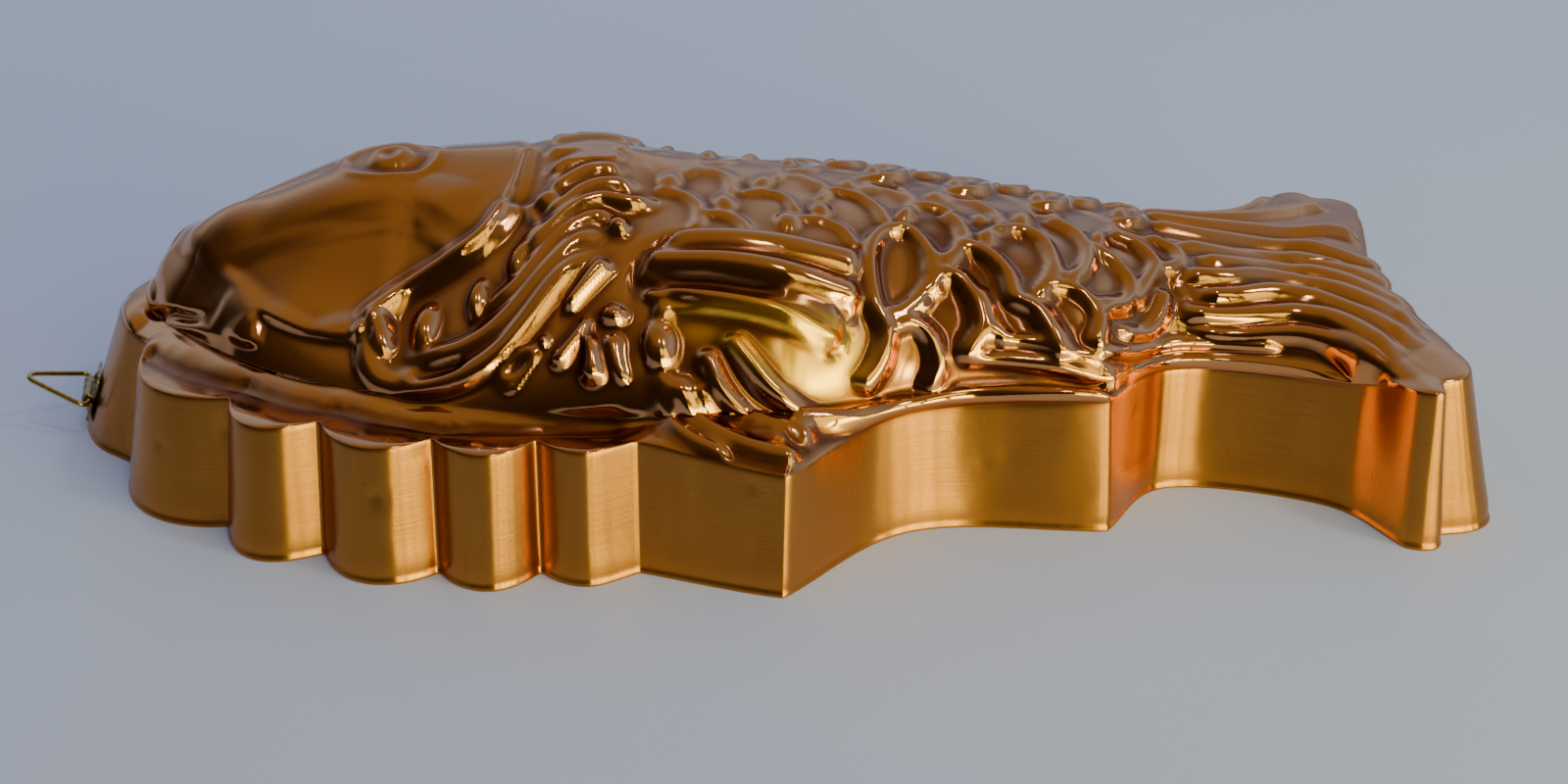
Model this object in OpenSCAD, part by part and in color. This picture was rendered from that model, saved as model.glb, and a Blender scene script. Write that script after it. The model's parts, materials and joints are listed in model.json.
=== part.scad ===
// Fish-shaped sheet copper mould with a hinged hanging ring.
// It stands on its open rim: nose towards -X, tail towards +X, crown up along +Z.
// The origin is in the rim plane, at the middle of the whole object's length and width.

/* [Mould] */
// Length of the rim from nose to tail
mould_length = 403; // [380:1:430]
// Width factor of the outline
width_factor = 1.0; // [0.9:0.05:1.1]
// Height factor of the crown and the walls
height_factor = 1.0; // [0.9:0.05:1.1]
// Thickness of the copper sheet
sheet_t = 0.7; // [0.6:0.1:1.2]
// Width of the folded hem at the rim
hem_w = 1.5; // [1.4:0.1:2.4]
// Height of the folded hem
hem_h = 3; // [2:0.5:5]

/* [Hanger] */
// Width of the brass strap along the hinge
strap_w = 13; // [10:0.5:14]
// Length of each flat leg of the strap
leg_h = 5.6; // [5:0.1:7]
// Thickness of the strap
strap_t = 0.8; // [0.6:0.1:1]
// Outer radius of the strap's barrel
barrel_r = 1.8; // [1.7:0.05:2.2]
// Radius of the ring's wire
wire_r = 0.8; // [0.6:0.05:0.9]
// Running clearance between wire and barrel
wire_gap = 0.06; // [0.03:0.01:0.1]
// Length of the ring's straight side, between its bend centres
ring_w = 17; // [16:0.5:22]
// Reach of the ring from the hinge to its far bend's centre
ring_reach = 14; // [12:0.5:20]
// Bend radius of the ring beside the strap
bend_r = 2; // [1.6:0.1:3]
// Bend radius of the ring's far end
tip_r = 3.4; // [2.5:0.1:5]
// Shank radius of the rivets
rivet_r = 1.0; // [0.8:0.1:1.2]
// Head radius of the rivets
head_r = 1.9; // [1.6:0.1:2.2]
// Head height of the rivets
head_h = 0.9; // [0.6:0.1:1.2]

/* [Hidden] */

nominal_length = 403;
kx = mould_length / nominal_length;
ky = width_factor;
kz = height_factor;

// Where the hanger sits: a point on the nose wall, the wall's yaw about Z and its lean inwards.
hanger_at = [-194.5 * kx, -3 * ky, 10 * kz];
hanger_yaw = 12;
hanger_lean = 21;

// The stations of the loft. Each row is one place round the mould:
// [rim x, rim y, edge x, edge y, edge z, lobe bulge to the next row, corner 1 or 0,
//  body fraction, body z, crown power, crown shape, spine x, spine z]
// The rim is the open edge, the edge is the top of the wall, and the body starts at a fraction
// of the way from the spine to the edge. The first and last rows are shared by both sides.
NEAR = [
    [-199,    2, -184,    2, 38,    0, 0, 0.72, 39, 2.0, 0.50, -150, 60.0],
    [-192,  -18, -179,  -16, 38,    0, 0, 0.76, 39, 1.8, 0.55, -144, 63.0],
    [-177,  -31, -170,  -27, 37,   12, 1, 0.80, 39, 1.6, 0.60, -134, 69.0],
    [-142,  -67, -139,  -62, 37.5, 10, 0, 0.80, 39, 1.4, 0.75, -108, 79.5],
    [-113,  -82, -112,  -77, 38,   10, 0, 0.82, 39, 1.3, 0.85,  -86, 82.5],
    [ -81,  -92,  -81,  -87, 38,    9, 0, 0.84, 39, 1.4, 0.80,  -62, 84.0],
    [ -54,  -92,  -54,  -88, 38,    8, 0, 0.87, 39, 1.5, 0.70,  -41, 86.5],
    [ -28,  -92,  -28,  -88, 37.5,  1, 0, 0.90, 39, 1.7, 0.60,  -21, 81.5],
    [  10, -105,   11, -100, 33.5,  0, 1, 0.80, 40, 2.0, 0.55,    8, 78.0],
    [  45,  -70,   44,  -65, 34,    0, 0, 0.94, 38, 2.0, 0.50,   38, 74.0],
    [  98,  -70,   97,  -65, 37,    0, 1, 0.92, 39, 2.0, 0.50,   80, 66.5],
    [ 118,  -45,  119,  -40, 35,    0, 0, 0.94, 38, 2.0, 0.55,  103, 61.5],
    [ 160,  -55,  163,  -51, 36,    0, 0, 0.94, 38, 2.0, 0.70,  132, 54.5],
    [ 177,  -79,  177,  -73, 44,    5, 1, 0.94, 44, 1.8, 0.90,  147, 51.0],
    [ 188,  -72,  184,  -68, 44.5,  4, 1, 0.94, 45, 1.6, 1.00,  153, 50.0],
    [ 204,  -54,  193,  -50, 45,    0, 0, 0.94, 46, 1.6, 1.00,  157, 50.0],
    [ 192,    2,  184,    2, 44,    0, 0, 0.94, 45, 1.6, 1.00,  160, 49.5]
];
// The far side's own rows, which share the near side's spine.
FAR = [
    [-192,   22, -179,   20, 38,    0, 0, 0.76, 39, 1.5, 0.80],
    [-177,   35, -170,   31, 37,   11, 1, 0.80, 39, 1.5, 0.80],
    [-143,   68, -140,   63, 37.5,  9, 0, 0.82, 39, 1.5, 0.80],
    [-113,   80, -112,   75, 38,    9, 0, 0.84, 39, 1.5, 0.80],
    [ -81,   87,  -81,   82, 38,    9, 0, 0.86, 39, 1.5, 0.80],
    [ -54,   89,  -54,   84, 38,    8, 0, 0.87, 39, 1.5, 0.80],
    [ -28,   89,  -28,   84, 38,    4, 0, 0.84, 40, 1.5, 0.80],
    [  10,   93,   10,   88, 38,    4, 0, 0.78, 41, 1.5, 0.80],
    [  48,   88,   48,   83, 38,    4, 0, 0.78, 41, 1.5, 0.80],
    [  86,   76,   85,   71, 38,    0, 1, 0.82, 41, 1.5, 0.80],
    [ 112,   61,  112,   56, 38,    0, 0, 0.92, 40, 1.6, 0.80],
    [ 150,   62,  152,   57, 42,    0, 0, 0.94, 43, 1.8, 0.85],
    [ 167,   77,  166,   71, 44,    4, 1, 0.94, 45, 1.8, 0.90],
    [ 181,   73,  178,   67, 45,    4, 1, 0.94, 45, 1.6, 1.00],
    [ 200,   54,  189,   51, 45,    0, 0, 0.94, 46, 1.6, 1.00]
];
// Ribs drawn in each stretch between stations.
RIBS = [4, 4, 6, 4, 4, 4, 4, 4, 6, 4, 4, 6, 4, 4, 4, 6];

// Broad swellings and hollows of the crown: [x, y, reach along, reach across, turn, height].
SWELLS = [
    [-106, -40, 34, 14, -22, -4.5],
    [-150, -10, 10, 10,   0,  3.0],
    [  -2, -52, 30, 13, -16,  4.0],
    [  -8, -88, 22,  7,  -8,  3.5],
    [  60, -30, 60, 22,   0,  1.0]
];

// Steps from the spine to the body line, closer together where the crown turns down.
crown_steps = 8;

half = len(NEAR) - 1;
loop = 2 * half;

// Row k of the closed loop of stations, the far rows taking their spine from the near side.
function row(k) =
    let (i = (k + loop) % loop)
    i <= half ? NEAR[i] : concat(FAR[loop - i - 1], [NEAR[loop - i][11], NEAR[loop - i][12]]);
function plan(v) = [v[0] * kx, v[1] * ky];
function rim_at(k) = let (r = row(k)) plan([r[0], r[1]]);
function edge_at(k) = let (r = row(k)) plan([r[2], r[3]]);
function is_corner(k) = row(k)[6] == 1;
function lobe_of(k) = k < half ? NEAR[k][5] : k == loop - 1 ? NEAR[0][5] : FAR[loop - k - 2][5];
// Edge height, body fraction, body height, crown power, crown shape, spine x and spine height.
function values_at(k) =
    let (r = row(k))
    [r[4] * kz, r[7], r[8] * kz, r[9], r[10], r[11] * kx, r[12] * kz];

// A smooth curve through b and c, with a and d as its outer neighbours.
function spline(a, b, c, d, t) =
    let (linear = c - a, square = 2 * a - 5 * b + 4 * c - d, cube = 3 * b - a - 3 * c + d)
    b + (linear * t + square * pow(t, 2) + cube * pow(t, 3)) / 2;
// The same along an outline, which may turn sharply at a corner.
function outline(p, k, t) =
    let (b = p(k), c = p(k + 1))
    let (a = is_corner(k) ? 2 * b - c : p(k - 1), d = is_corner(k + 1) ? 2 * c - b : p(k + 2))
    spline(a, b, c, d, t);
function rim_curve(k, t) = outline(function (i) rim_at(i), k, t);
function edge_curve(k, t) = outline(function (i) edge_at(i), k, t);
function values(k, t) =
    spline(values_at(k - 1), values_at(k), values_at(k + 1), values_at(k + 2), t);

function unit(v) = v / max(norm(v), 1e-9);
// Outward direction in plan between stations k and k + 1; the loop runs anticlockwise.
step = 0.01;
function outward(k, t) =
    let (d = rim_curve(k, min(t + step, 1)) - rim_curve(k, max(t - step, 0)))
    unit([d[1], -d[0]]);

// Every rib as [station, fraction], once round the mould.
ribs = [
    for (k = [0 : loop - 1])
        let (n = RIBS[k < half ? k : loop - 1 - k])
        for (i = [0 : n - 1]) [k, i / n]
];
n_ribs = len(ribs);
n_half = n_ribs / 2;

rim_base = [for (q = ribs) rim_curve(q[0], q[1])];
edge_base = [for (q = ribs) edge_curve(q[0], q[1])];
bulge = [for (q = ribs) lobe_of(q[0]) * 4 * q[1] * (1 - q[1]) * outward(q[0], q[1])];
shape = [for (q = ribs) values(q[0], q[1])];
rim = rim_base + bulge;
edge = edge_base + bulge;
inward = [
    for (j = [0 : n_ribs - 1])
        let (d = rim[(j + 1) % n_ribs] - rim[(j + n_ribs - 1) % n_ribs])
        unit([-d[1], d[0]])
];

function swell(x, y, s) =
    let (dx = x - s[0] * kx, dy = y - s[1] * ky, c = cos(s[4]), n = sin(s[4]))
    let (u = (dx * c + dy * n) / s[2], v = (dy * c - dx * n) / s[3])
    s[5] * kz * exp(-u * u - v * v);
function swells(x, y) = [for (s = SWELLS) swell(x, y, s)] * [for (s = SWELLS) 1];

// A point of the crown, rib j, at fraction f from the spine to the body line, where the
// swellings fade out.
swell_fade = 6;
function crown(j, f) =
    let (v = shape[j], s = [v[5], 0], p = s + f * v[1] * (edge_base[j] - s))
    let (rise = (v[6] - v[2]) * pow(max(1 - pow(f, v[3]), 0), v[4]))
    [p[0], p[1], v[2] + rise + swells(p[0], p[1]) * (1 - pow(f, swell_fade))];
function edge_point(j) = [edge[j][0], edge[j][1], shape[j][0]];
function rim_point(j) = [rim[j][0], rim[j][1], 0];
function wall_point(j, z) = rim_point(j) + (edge_point(j) - rim_point(j)) * z / shape[j][0];
function pushed(p, j, d, dz) = [p[0] + inward[j][0] * d, p[1] + inward[j][1] * d, p[2] + dz];

// Outer skin: the spine, rings down to the body line, the ledge, the wall's edge and the rim.
fractions = [for (i = [1 : crown_steps]) sin(90 * i / crown_steps)];
outer_spine = [for (j = [0 : n_half]) crown(j, 0)];
outer_rings = concat(
    [for (f = fractions) [for (j = [0 : n_ribs - 1]) crown(j, f)]],
    [[for (j = [0 : n_ribs - 1]) (crown(j, 1) + edge_point(j)) / 2]],
    [[for (j = [0 : n_ribs - 1]) edge_point(j)]],
    [[for (j = [0 : n_ribs - 1]) rim_point(j)]]
);
n_top = len(fractions) + 1;

// Inner skin: the same rings one sheet thickness in, then the hem, which has a short taper above it.
hem_taper = 0.8;
function around(r, j) =
    let (a = r == 0 ? outer_spine[j <= n_half ? j : n_ribs - j] : outer_rings[r - 1][j])
    let (b = outer_rings[r + 1][j], c = outer_rings[r][(j + 1) % n_ribs])
    let (d = outer_rings[r][(j + n_ribs - 1) % n_ribs])
    unit(cross(b - a, c - d));
inner_spine = [for (p = outer_spine) p - [0, 0, sheet_t]];
inner_rings = concat(
    [for (r = [0 : n_top - 1]) [for (j = [0 : n_ribs - 1]) outer_rings[r][j] - sheet_t * around(r, j)]],
    [[for (j = [0 : n_ribs - 1]) pushed(edge_point(j), j, sheet_t, -sheet_t)]],
    [[for (j = [0 : n_ribs - 1]) pushed(wall_point(j, hem_h + hem_taper), j, sheet_t, 0)]],
    [[for (j = [0 : n_ribs - 1]) pushed(wall_point(j, hem_h), j, hem_w, 0)]],
    [[for (j = [0 : n_ribs - 1]) pushed(rim_point(j), j, hem_w, 0)]]
);

// Vertex numbers: a skin is its spine and then its rings.
function at(base, r, j) =
    let (i = j % n_ribs)
    r < 0 ? base + (i <= n_half ? i : n_ribs - i) : base + n_half + 1 + r * n_ribs + i;
function quad(a, b, c, d) = [[a, d, c], [a, c, b]];
function skin_faces(base, n_rings) = [
    for (j = [0 : n_ribs - 1], r = [-1 : n_rings - 2])
        for (t = quad(at(base, r, j), at(base, r + 1, j), at(base, r + 1, j + 1), at(base, r, j + 1))) t
];
function flipped(faces) = [for (t = faces) [t[0], t[2], t[1]]];
function flat(rings) = [for (ring = rings) for (p = ring) p];

outer_count = n_half + 1 + len(outer_rings) * n_ribs;
shell_points = concat(outer_spine, flat(outer_rings), inner_spine, flat(inner_rings));
// The foot joins the last outer ring to the last inner one.
function outer_foot(j) = at(0, len(outer_rings) - 1, j);
function inner_foot(j) = at(outer_count, len(inner_rings) - 1, j);
foot_faces = [
    for (j = [0 : n_ribs - 1])
        for (t = quad(outer_foot(j), inner_foot(j), inner_foot(j + 1), outer_foot(j + 1))) t
];
shell_faces = concat(
    skin_faces(0, len(outer_rings)),
    flipped(skin_faces(outer_count, len(inner_rings))),
    foot_faces
);

// The strap's back stands this far off the wall at its middle.
seat_gap = 0.15;

// The ring lies in the hanger frame's X-Y plane: a straight side in the barrel and two legs
// that meet in a round tip. Its legs are tangent to the side bends and to the tip bend.
half_w = ring_w / 2;
leg_reach = ring_reach - bend_r;
leg_turn = acos((bend_r - tip_r) / norm([leg_reach, half_w])) - atan2(half_w, leg_reach);
bend_steps = 7;
tip_steps = 12;
// How far the bent wire runs into each end of the straight side.
overlap = 0.6;
function arc(centre, r, from, to, steps) = [
    for (i = [0 : steps])
        let (a = from + (to - from) * i / steps)
        [centre[0] + r * cos(a), centre[1] + r * sin(a), a]
];
// Points of the bent wire with their outward angle, from one end of the straight side to the other.
wire_path = concat(
    [[0, half_w - overlap, 180]],
    arc([bend_r, half_w], bend_r, 180, leg_turn, bend_steps),
    arc([ring_reach, 0], tip_r, leg_turn, -leg_turn, tip_steps),
    arc([bend_r, -half_w], bend_r, -leg_turn, -180, bend_steps),
    [[0, -half_w + overlap, -180]]
);
wire_sides = 16;
// The bent wire is a hair thinner than the straight side, so that the two join cleanly.
bent_r = wire_r - 0.02;
wire_points = [
    for (q = wire_path, i = [0 : wire_sides - 1])
        let (a = 360 * i / wire_sides, reach = bent_r * cos(a))
        [q[0] + reach * cos(q[2]), q[1] + reach * sin(q[2]), bent_r * sin(a)]
];
wire_last = len(wire_path) - 1;
wire_faces = concat(
    [for (k = [0 : wire_last - 1], i = [0 : wire_sides - 1])
        let (j = (i + 1) % wire_sides, a = k * wire_sides, b = a + wire_sides)
        for (t = [[a + i, b + j, a + j], [a + i, b + i, b + j]]) t],
    [[for (i = [0 : wire_sides - 1]) i]],
    [[for (i = [wire_sides - 1 : -1 : 0]) wire_last * wire_sides + i]]
);

// Hanger frame: X out of the wall, Y along the hinge, Z up the wall.
hinge_x = seat_gap + barrel_r;
function from_nose(p) =
    let (x = -p[0] * cos(hanger_lean) + p[2] * sin(hanger_lean), y = p[1])
    let (z = p[0] * sin(hanger_lean) + p[2] * cos(hanger_lean))
    hanger_at + [x * cos(hanger_yaw) - y * sin(hanger_yaw), x * sin(hanger_yaw) + y * cos(hanger_yaw), z];

// The loft's own zero is moved to the middle of the whole object.
all_x = concat([for (p = rim) p[0]], [for (p = wire_points) from_nose(p + [hinge_x, 0, 0])[0]]);
all_y = [for (p = rim) p[1]];
middle = [(min(all_x) + max(all_x)) / 2, (min(all_y) + max(all_y)) / 2, 0];

module centred() translate(-middle) children();
module on_nose() {
    centred()
    translate(hanger_at)
    rotate([0, 0, hanger_yaw])
    rotate([0, hanger_lean, 0])
    mirror([1, 0, 0])
    children();
}

// A rivet sits in the middle of each leg. Its holes are a hair wider than its shank.
rivet_z = barrel_r + leg_h / 2;
rivet_hole_r = rivet_r + 0.02;
// The inner heads end this far behind the strap frame's zero, clear of the leaning wall.
inner_reach = 1.5;
inner_head_r = 0.8 * head_r;
inner_head_h = 0.6 * head_h;
// How far a hole's cutter runs past what it cuts.
past = 2;

module along_hinge() rotate([90, 0, 0]) children();
module rivet_holes(from, to) {
    for (side = [-1, 1])
        translate([from, 0, side * rivet_z])
        rotate([0, 90, 0])
        cylinder(h = to - from, r = rivet_hole_r, $fn = 48);
}

module pan_shell() {
    color("#b3703c")
    difference() {
        centred() polyhedron(points = shell_points, faces = shell_faces, convexity = 12);
        on_nose() rivet_holes(-inner_reach - past, seat_gap + past);
    }
}

module hanger_strap() {
    color("#b08d3c")
    on_nose()
    difference() {
        union() {
            translate([seat_gap, -strap_w / 2, -barrel_r - leg_h])
                cube([strap_t, strap_w, 2 * (barrel_r + leg_h)]);
            translate([hinge_x, strap_w / 2, 0])
                along_hinge() cylinder(h = strap_w, r = barrel_r, $fn = 64);
        }
        translate([hinge_x, strap_w / 2 + past, 0])
            along_hinge() cylinder(h = strap_w + 2 * past, r = wire_r + wire_gap, $fn = 48);
        rivet_holes(seat_gap - past, seat_gap + strap_t + past);
    }
}

module hanger_rivets() {
    color("#a8843a")
    on_nose()
    for (side = [-1, 1]) {
        translate([0, 0, side * rivet_z]) rivet();
    }
}

// One rivet: shank through strap and wall, a domed head outside and a flat one inside.
module rivet() {
    crown_x = seat_gap + strap_t;
    rotate([0, 90, 0])
    rotate_extrude($fn = 48)
    polygon(concat(
        [[0, -inner_reach], [inner_head_r, -inner_reach]],
        [[inner_head_r, inner_head_h - inner_reach], [rivet_r, inner_head_h - inner_reach]],
        [[rivet_r, crown_x]],
        [for (a = [0 : 15 : 90]) [head_r * cos(a), crown_x + head_h * sin(a)]]
    ));
}

module hanging_ring() {
    color("#b8963e")
    on_nose() translate([hinge_x, 0, 0]) {
        translate([0, half_w, 0]) along_hinge() cylinder(h = ring_w, r = wire_r, $fn = 48);
        polyhedron(points = wire_points, faces = wire_faces, convexity = 6);
    }
}

pan_shell();
hanger_strap();
hanger_rivets();
hanging_ring();
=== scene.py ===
"""A fish-shaped mould of polished sheet copper with a hinged brass hanging ring.

The pan is one pressed sheet: a loft of stations gives the plain form, and a relief drawn on the
unrolled skin gives the fish. Lengths in the tables are millimetres; Blender's units are metres.
"""

import json
import math

import bpy
import numpy as np
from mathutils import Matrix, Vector


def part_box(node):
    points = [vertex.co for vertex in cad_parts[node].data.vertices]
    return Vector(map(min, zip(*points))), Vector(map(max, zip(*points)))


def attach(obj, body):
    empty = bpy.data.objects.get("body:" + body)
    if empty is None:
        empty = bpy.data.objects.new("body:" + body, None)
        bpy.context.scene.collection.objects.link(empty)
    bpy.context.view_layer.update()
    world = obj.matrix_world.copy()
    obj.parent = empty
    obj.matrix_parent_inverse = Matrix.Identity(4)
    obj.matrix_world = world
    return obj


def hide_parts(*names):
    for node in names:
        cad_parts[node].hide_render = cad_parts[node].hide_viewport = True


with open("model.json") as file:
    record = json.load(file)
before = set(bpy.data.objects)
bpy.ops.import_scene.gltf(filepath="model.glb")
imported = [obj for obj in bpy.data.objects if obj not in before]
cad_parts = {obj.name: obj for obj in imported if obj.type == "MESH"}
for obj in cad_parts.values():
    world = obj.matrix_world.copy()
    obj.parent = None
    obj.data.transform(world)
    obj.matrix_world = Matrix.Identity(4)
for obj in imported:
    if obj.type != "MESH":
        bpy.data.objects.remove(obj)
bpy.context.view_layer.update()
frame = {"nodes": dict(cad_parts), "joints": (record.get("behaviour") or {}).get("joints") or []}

MM = 0.001

# ---------------------------------------------------------------- camera

LENS = 52.0
SENSOR_WIDTH = 36.0
CAMERA_PITCH = 26.0
CAMERA_AT = Vector((0.0142, -0.6042, 0.305))

camera_data = bpy.data.cameras.new("camera")
camera_data.lens = LENS
camera_data.sensor_width = SENSOR_WIDTH
camera = bpy.data.objects.new("camera", camera_data)
camera.location = CAMERA_AT
camera.rotation_euler = (math.radians(90.0 - CAMERA_PITCH), 0.0, 0.0)
bpy.context.scene.collection.objects.link(camera)
bpy.context.scene.camera = camera


# ---------------------------------------------------------------- helpers


def mesh_object(name, points, faces, smooth=True):
    """A mesh object from points in metres and faces as rows of vertex numbers."""
    mesh = bpy.data.meshes.new(name)
    mesh.from_pydata([tuple(p) for p in points], [], [tuple(f) for f in faces])
    mesh.polygons.foreach_set("use_smooth", [smooth] * len(mesh.polygons))
    mesh.update()
    made = bpy.data.objects.new(name, mesh)
    bpy.context.scene.collection.objects.link(made)
    return made


def smoothstep(low, high, value):
    """0 below low, 1 above high, and an even rise between."""
    t = np.clip((value - low) / (high - low), 0.0, 1.0)
    return t * t * (3.0 - 2.0 * t)


def spline(a, b, c, d, t):
    """A smooth curve from b to c, with a and d as its outer neighbours."""
    cubic = 3.0 * b - a - 3.0 * c + d
    return b + ((c - a) * t + (2.0 * a - 5.0 * b + 4.0 * c - d) * t**2 + cubic * t**3) / 2.0


# Steps of a smooth path between two of its stated points.
PATH_STEPS = 6


def smooth_path(points):
    """A smooth curve through a few points, as an array."""
    p = np.array(points, float)
    p = np.vstack([2.0 * p[0] - p[1], p, 2.0 * p[-1] - p[-2]])
    t = np.arange(PATH_STEPS)[:, None] / PATH_STEPS
    spans = [spline(p[i], p[i + 1], p[i + 2], p[i + 3], t) for i in range(len(p) - 3)]
    return np.vstack(spans + [p[-2][None]])


# ---------------------------------------------------------------- plain form of the pan

# One row is one place round the mould, from the nose to the tail along the near side:
# [rim x, rim y, edge x, edge y, edge z, lobe bulge to the next row, corner 1 or 0,
#  body fraction, body z, crown power, crown shape, spine x, spine z]
NEAR = [
    [-199, 2, -184, 2, 38, 0, 0, 0.72, 39, 2.0, 0.50, -150, 60.0],
    [-192, -18, -179, -16, 38, 0, 0, 0.76, 39, 1.8, 0.55, -144, 63.0],
    [-177, -31, -170, -27, 37, 12, 1, 0.80, 39, 1.6, 0.60, -134, 69.0],
    [-142, -67, -139, -62, 37.5, 10, 0, 0.80, 39, 1.4, 0.75, -108, 79.5],
    [-113, -82, -112, -77, 38, 10, 0, 0.82, 39, 1.3, 0.85, -86, 82.5],
    [-81, -92, -81, -87, 38, 9, 0, 0.84, 39, 1.4, 0.80, -62, 84.0],
    [-54, -92, -54, -88, 38, 8, 0, 0.87, 39, 1.5, 0.70, -41, 86.5],
    [-28, -92, -28, -88, 37.5, 1, 0, 0.90, 39, 1.7, 0.60, -21, 81.5],
    [10, -105, 11, -100, 33.5, 0, 1, 0.80, 40, 2.0, 0.55, 8, 78.0],
    [45, -70, 44, -65, 34, 0, 0, 0.94, 38, 2.0, 0.50, 38, 74.0],
    [98, -70, 97, -65, 37, 0, 1, 0.92, 39, 2.0, 0.50, 80, 66.5],
    [118, -45, 119, -40, 35, 0, 0, 0.94, 38, 2.0, 0.55, 103, 61.5],
    [160, -55, 163, -51, 36, 0, 0, 0.94, 38, 2.0, 0.70, 132, 54.5],
    [177, -79, 177, -73, 44, 5, 1, 0.94, 44, 1.8, 0.90, 147, 51.0],
    [188, -72, 184, -68, 44.5, 4, 1, 0.94, 45, 1.6, 1.00, 153, 50.0],
    [204, -54, 193, -50, 45, 0, 0, 0.94, 46, 1.6, 1.00, 157, 50.0],
    [192, 2, 184, 2, 44, 0, 0, 0.94, 45, 1.6, 1.00, 160, 49.5],
]
# The far side's rows between the two that both sides share, without the spine.
FAR = [
    [-192, 22, -179, 20, 38, 0, 0, 0.76, 39, 1.5, 0.80],
    [-177, 35, -170, 31, 37, 11, 1, 0.80, 39, 1.5, 0.80],
    [-143, 68, -140, 63, 37.5, 9, 0, 0.82, 39, 1.5, 0.80],
    [-113, 80, -112, 75, 38, 9, 0, 0.84, 39, 1.5, 0.80],
    [-81, 87, -81, 82, 38, 9, 0, 0.86, 39, 1.5, 0.80],
    [-54, 89, -54, 84, 38, 8, 0, 0.87, 39, 1.5, 0.80],
    [-28, 89, -28, 84, 38, 4, 0, 0.84, 40, 1.5, 0.80],
    [10, 93, 10, 88, 38, 4, 0, 0.78, 41, 1.5, 0.80],
    [48, 88, 48, 83, 38, 4, 0, 0.78, 41, 1.5, 0.80],
    [86, 76, 85, 71, 38, 0, 1, 0.82, 41, 1.5, 0.80],
    [112, 61, 112, 56, 38, 0, 0, 0.92, 40, 1.6, 0.80],
    [150, 62, 152, 57, 42, 0, 0, 0.94, 43, 1.8, 0.85],
    [167, 77, 166, 71, 44, 4, 1, 0.94, 45, 1.8, 0.90],
    [181, 73, 178, 67, 45, 4, 1, 0.94, 45, 1.6, 1.00],
    [200, 54, 189, 51, 45, 0, 0, 0.94, 46, 1.6, 1.00],
]
# Broad swellings and hollows of the crown: [x, y, reach along, reach across, turn, height].
SWELLS = [
    [-106, -40, 34, 14, -22, -4.5],
    [-150, -10, 10, 10, 0, 3.0],
    [-2, -52, 30, 13, -16, 4.0],
    [-8, -88, 22, 7, -8, 3.5],
    [60, -30, 60, 22, 0, 1.0],
]
RIM, EDGE, EDGE_Z, LOBE, CORNER = slice(0, 2), slice(2, 4), 4, 5, 6
FRACTION, BODY_Z, POWER, SHAPE, SPINE_X, SPINE_Z = range(7, 13)

SHEET = 0.7
HEM_WIDTH = 1.5
HEM_HEIGHT = 3.0
# The lowest part of the wall, which the hem's own rings replace.
HEM_ZONE = 6.0

HALF = len(NEAR) - 1
LOOP = 2 * HALF
ROWS = np.array(NEAR + [f + NEAR[i][SPINE_X:] for i, f in reversed(list(enumerate(FAR, 1)))], float)


def lobe_of(k):
    """The bulge between row k and the next, which a far row states towards the tail."""
    if k < HALF:
        return NEAR[k][LOBE]
    return NEAR[0][LOBE] if k == LOOP - 1 else FAR[LOOP - k - 2][LOBE]


def outline(columns, k, t):
    """The rim or the edge between rows k and k + 1, turning sharply at a corner."""
    b, c = ROWS[k % LOOP][columns], ROWS[(k + 1) % LOOP][columns]
    a = 2 * b - c if ROWS[k % LOOP][CORNER] else ROWS[(k - 1) % LOOP][columns]
    d = 2 * c - b if ROWS[(k + 1) % LOOP][CORNER] else ROWS[(k + 2) % LOOP][columns]
    return spline(a, b, c, d, t[:, None])


def outward(loop_points):
    """Unit normals in plan of a closed anticlockwise outline."""
    along = np.roll(loop_points, -1, 0) - np.roll(loop_points, 1, 0)
    normal = np.stack([along[:, 1], -along[:, 0]], 1)
    return normal / np.linalg.norm(normal, axis=1)[:, None]


OUTLINE_SPACING = 0.2


def rounded(loop_points, radius):
    """A closed outline with its corners eased by a Gaussian of that radius."""
    steps = np.linalg.norm(np.roll(loop_points, -1, 0) - loop_points, axis=1)
    at = np.concatenate([[0.0], np.cumsum(steps)])
    closed = np.vstack([loop_points, loop_points[:1]])
    n = int(at[-1] / OUTLINE_SPACING)
    even = np.arange(n) * at[-1] / n
    pull = np.exp(-2.0 * (math.pi * radius * np.fft.rfftfreq(n, at[-1] / n)) ** 2)
    eased = []
    for c in range(2):
        track = np.interp(even, at, closed[:, c])
        track = np.fft.irfft(np.fft.rfft(track) * pull, n)
        eased.append(np.interp(at[:-1], np.append(even, at[-1]), np.append(track, track[0])))
    return np.stack(eased, 1)


# Places worked out between two rows.
DENSE = 80
CORNER_RADIUS = 0.7
EDGE_RADIUS = 0.9
BODY_RADIUS = 6.0


def dense_loop():
    """Every value of the loft on a dense closed loop: rim, edge, plain edge and the rest."""
    t = np.arange(DENSE) / DENSE
    rim, edge, rest, lobe = [], [], [], []
    for k in range(LOOP):
        rim.append(outline(RIM, k, t))
        edge.append(outline(EDGE, k, t))
        # A lobe bulges as a parabola.
        lobe.append(lobe_of(k) * 4.0 * t * (1.0 - t))
        around = [ROWS[(k + i) % LOOP] for i in (-1, 0, 1, 2)]
        rest.append(spline(*around, t[:, None]))
    rim, edge, rest = np.vstack(rim), np.vstack(edge), np.vstack(rest)
    bulge = np.concatenate(lobe)[:, None] * outward(rim)
    return {
        "rim": rounded(rim + bulge, CORNER_RADIUS),
        "edge": rounded(edge + bulge, EDGE_RADIUS),
        "plain_edge": rounded(edge, BODY_RADIUS),
        "rest": rest,
    }


RIBS_PER_SIDE = 520
CROWN_RINGS = 110
LEDGE_RINGS = 14
WALL_RINGS = 22
TOP_RINGS = CROWN_RINGS + LEDGE_RINGS
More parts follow.
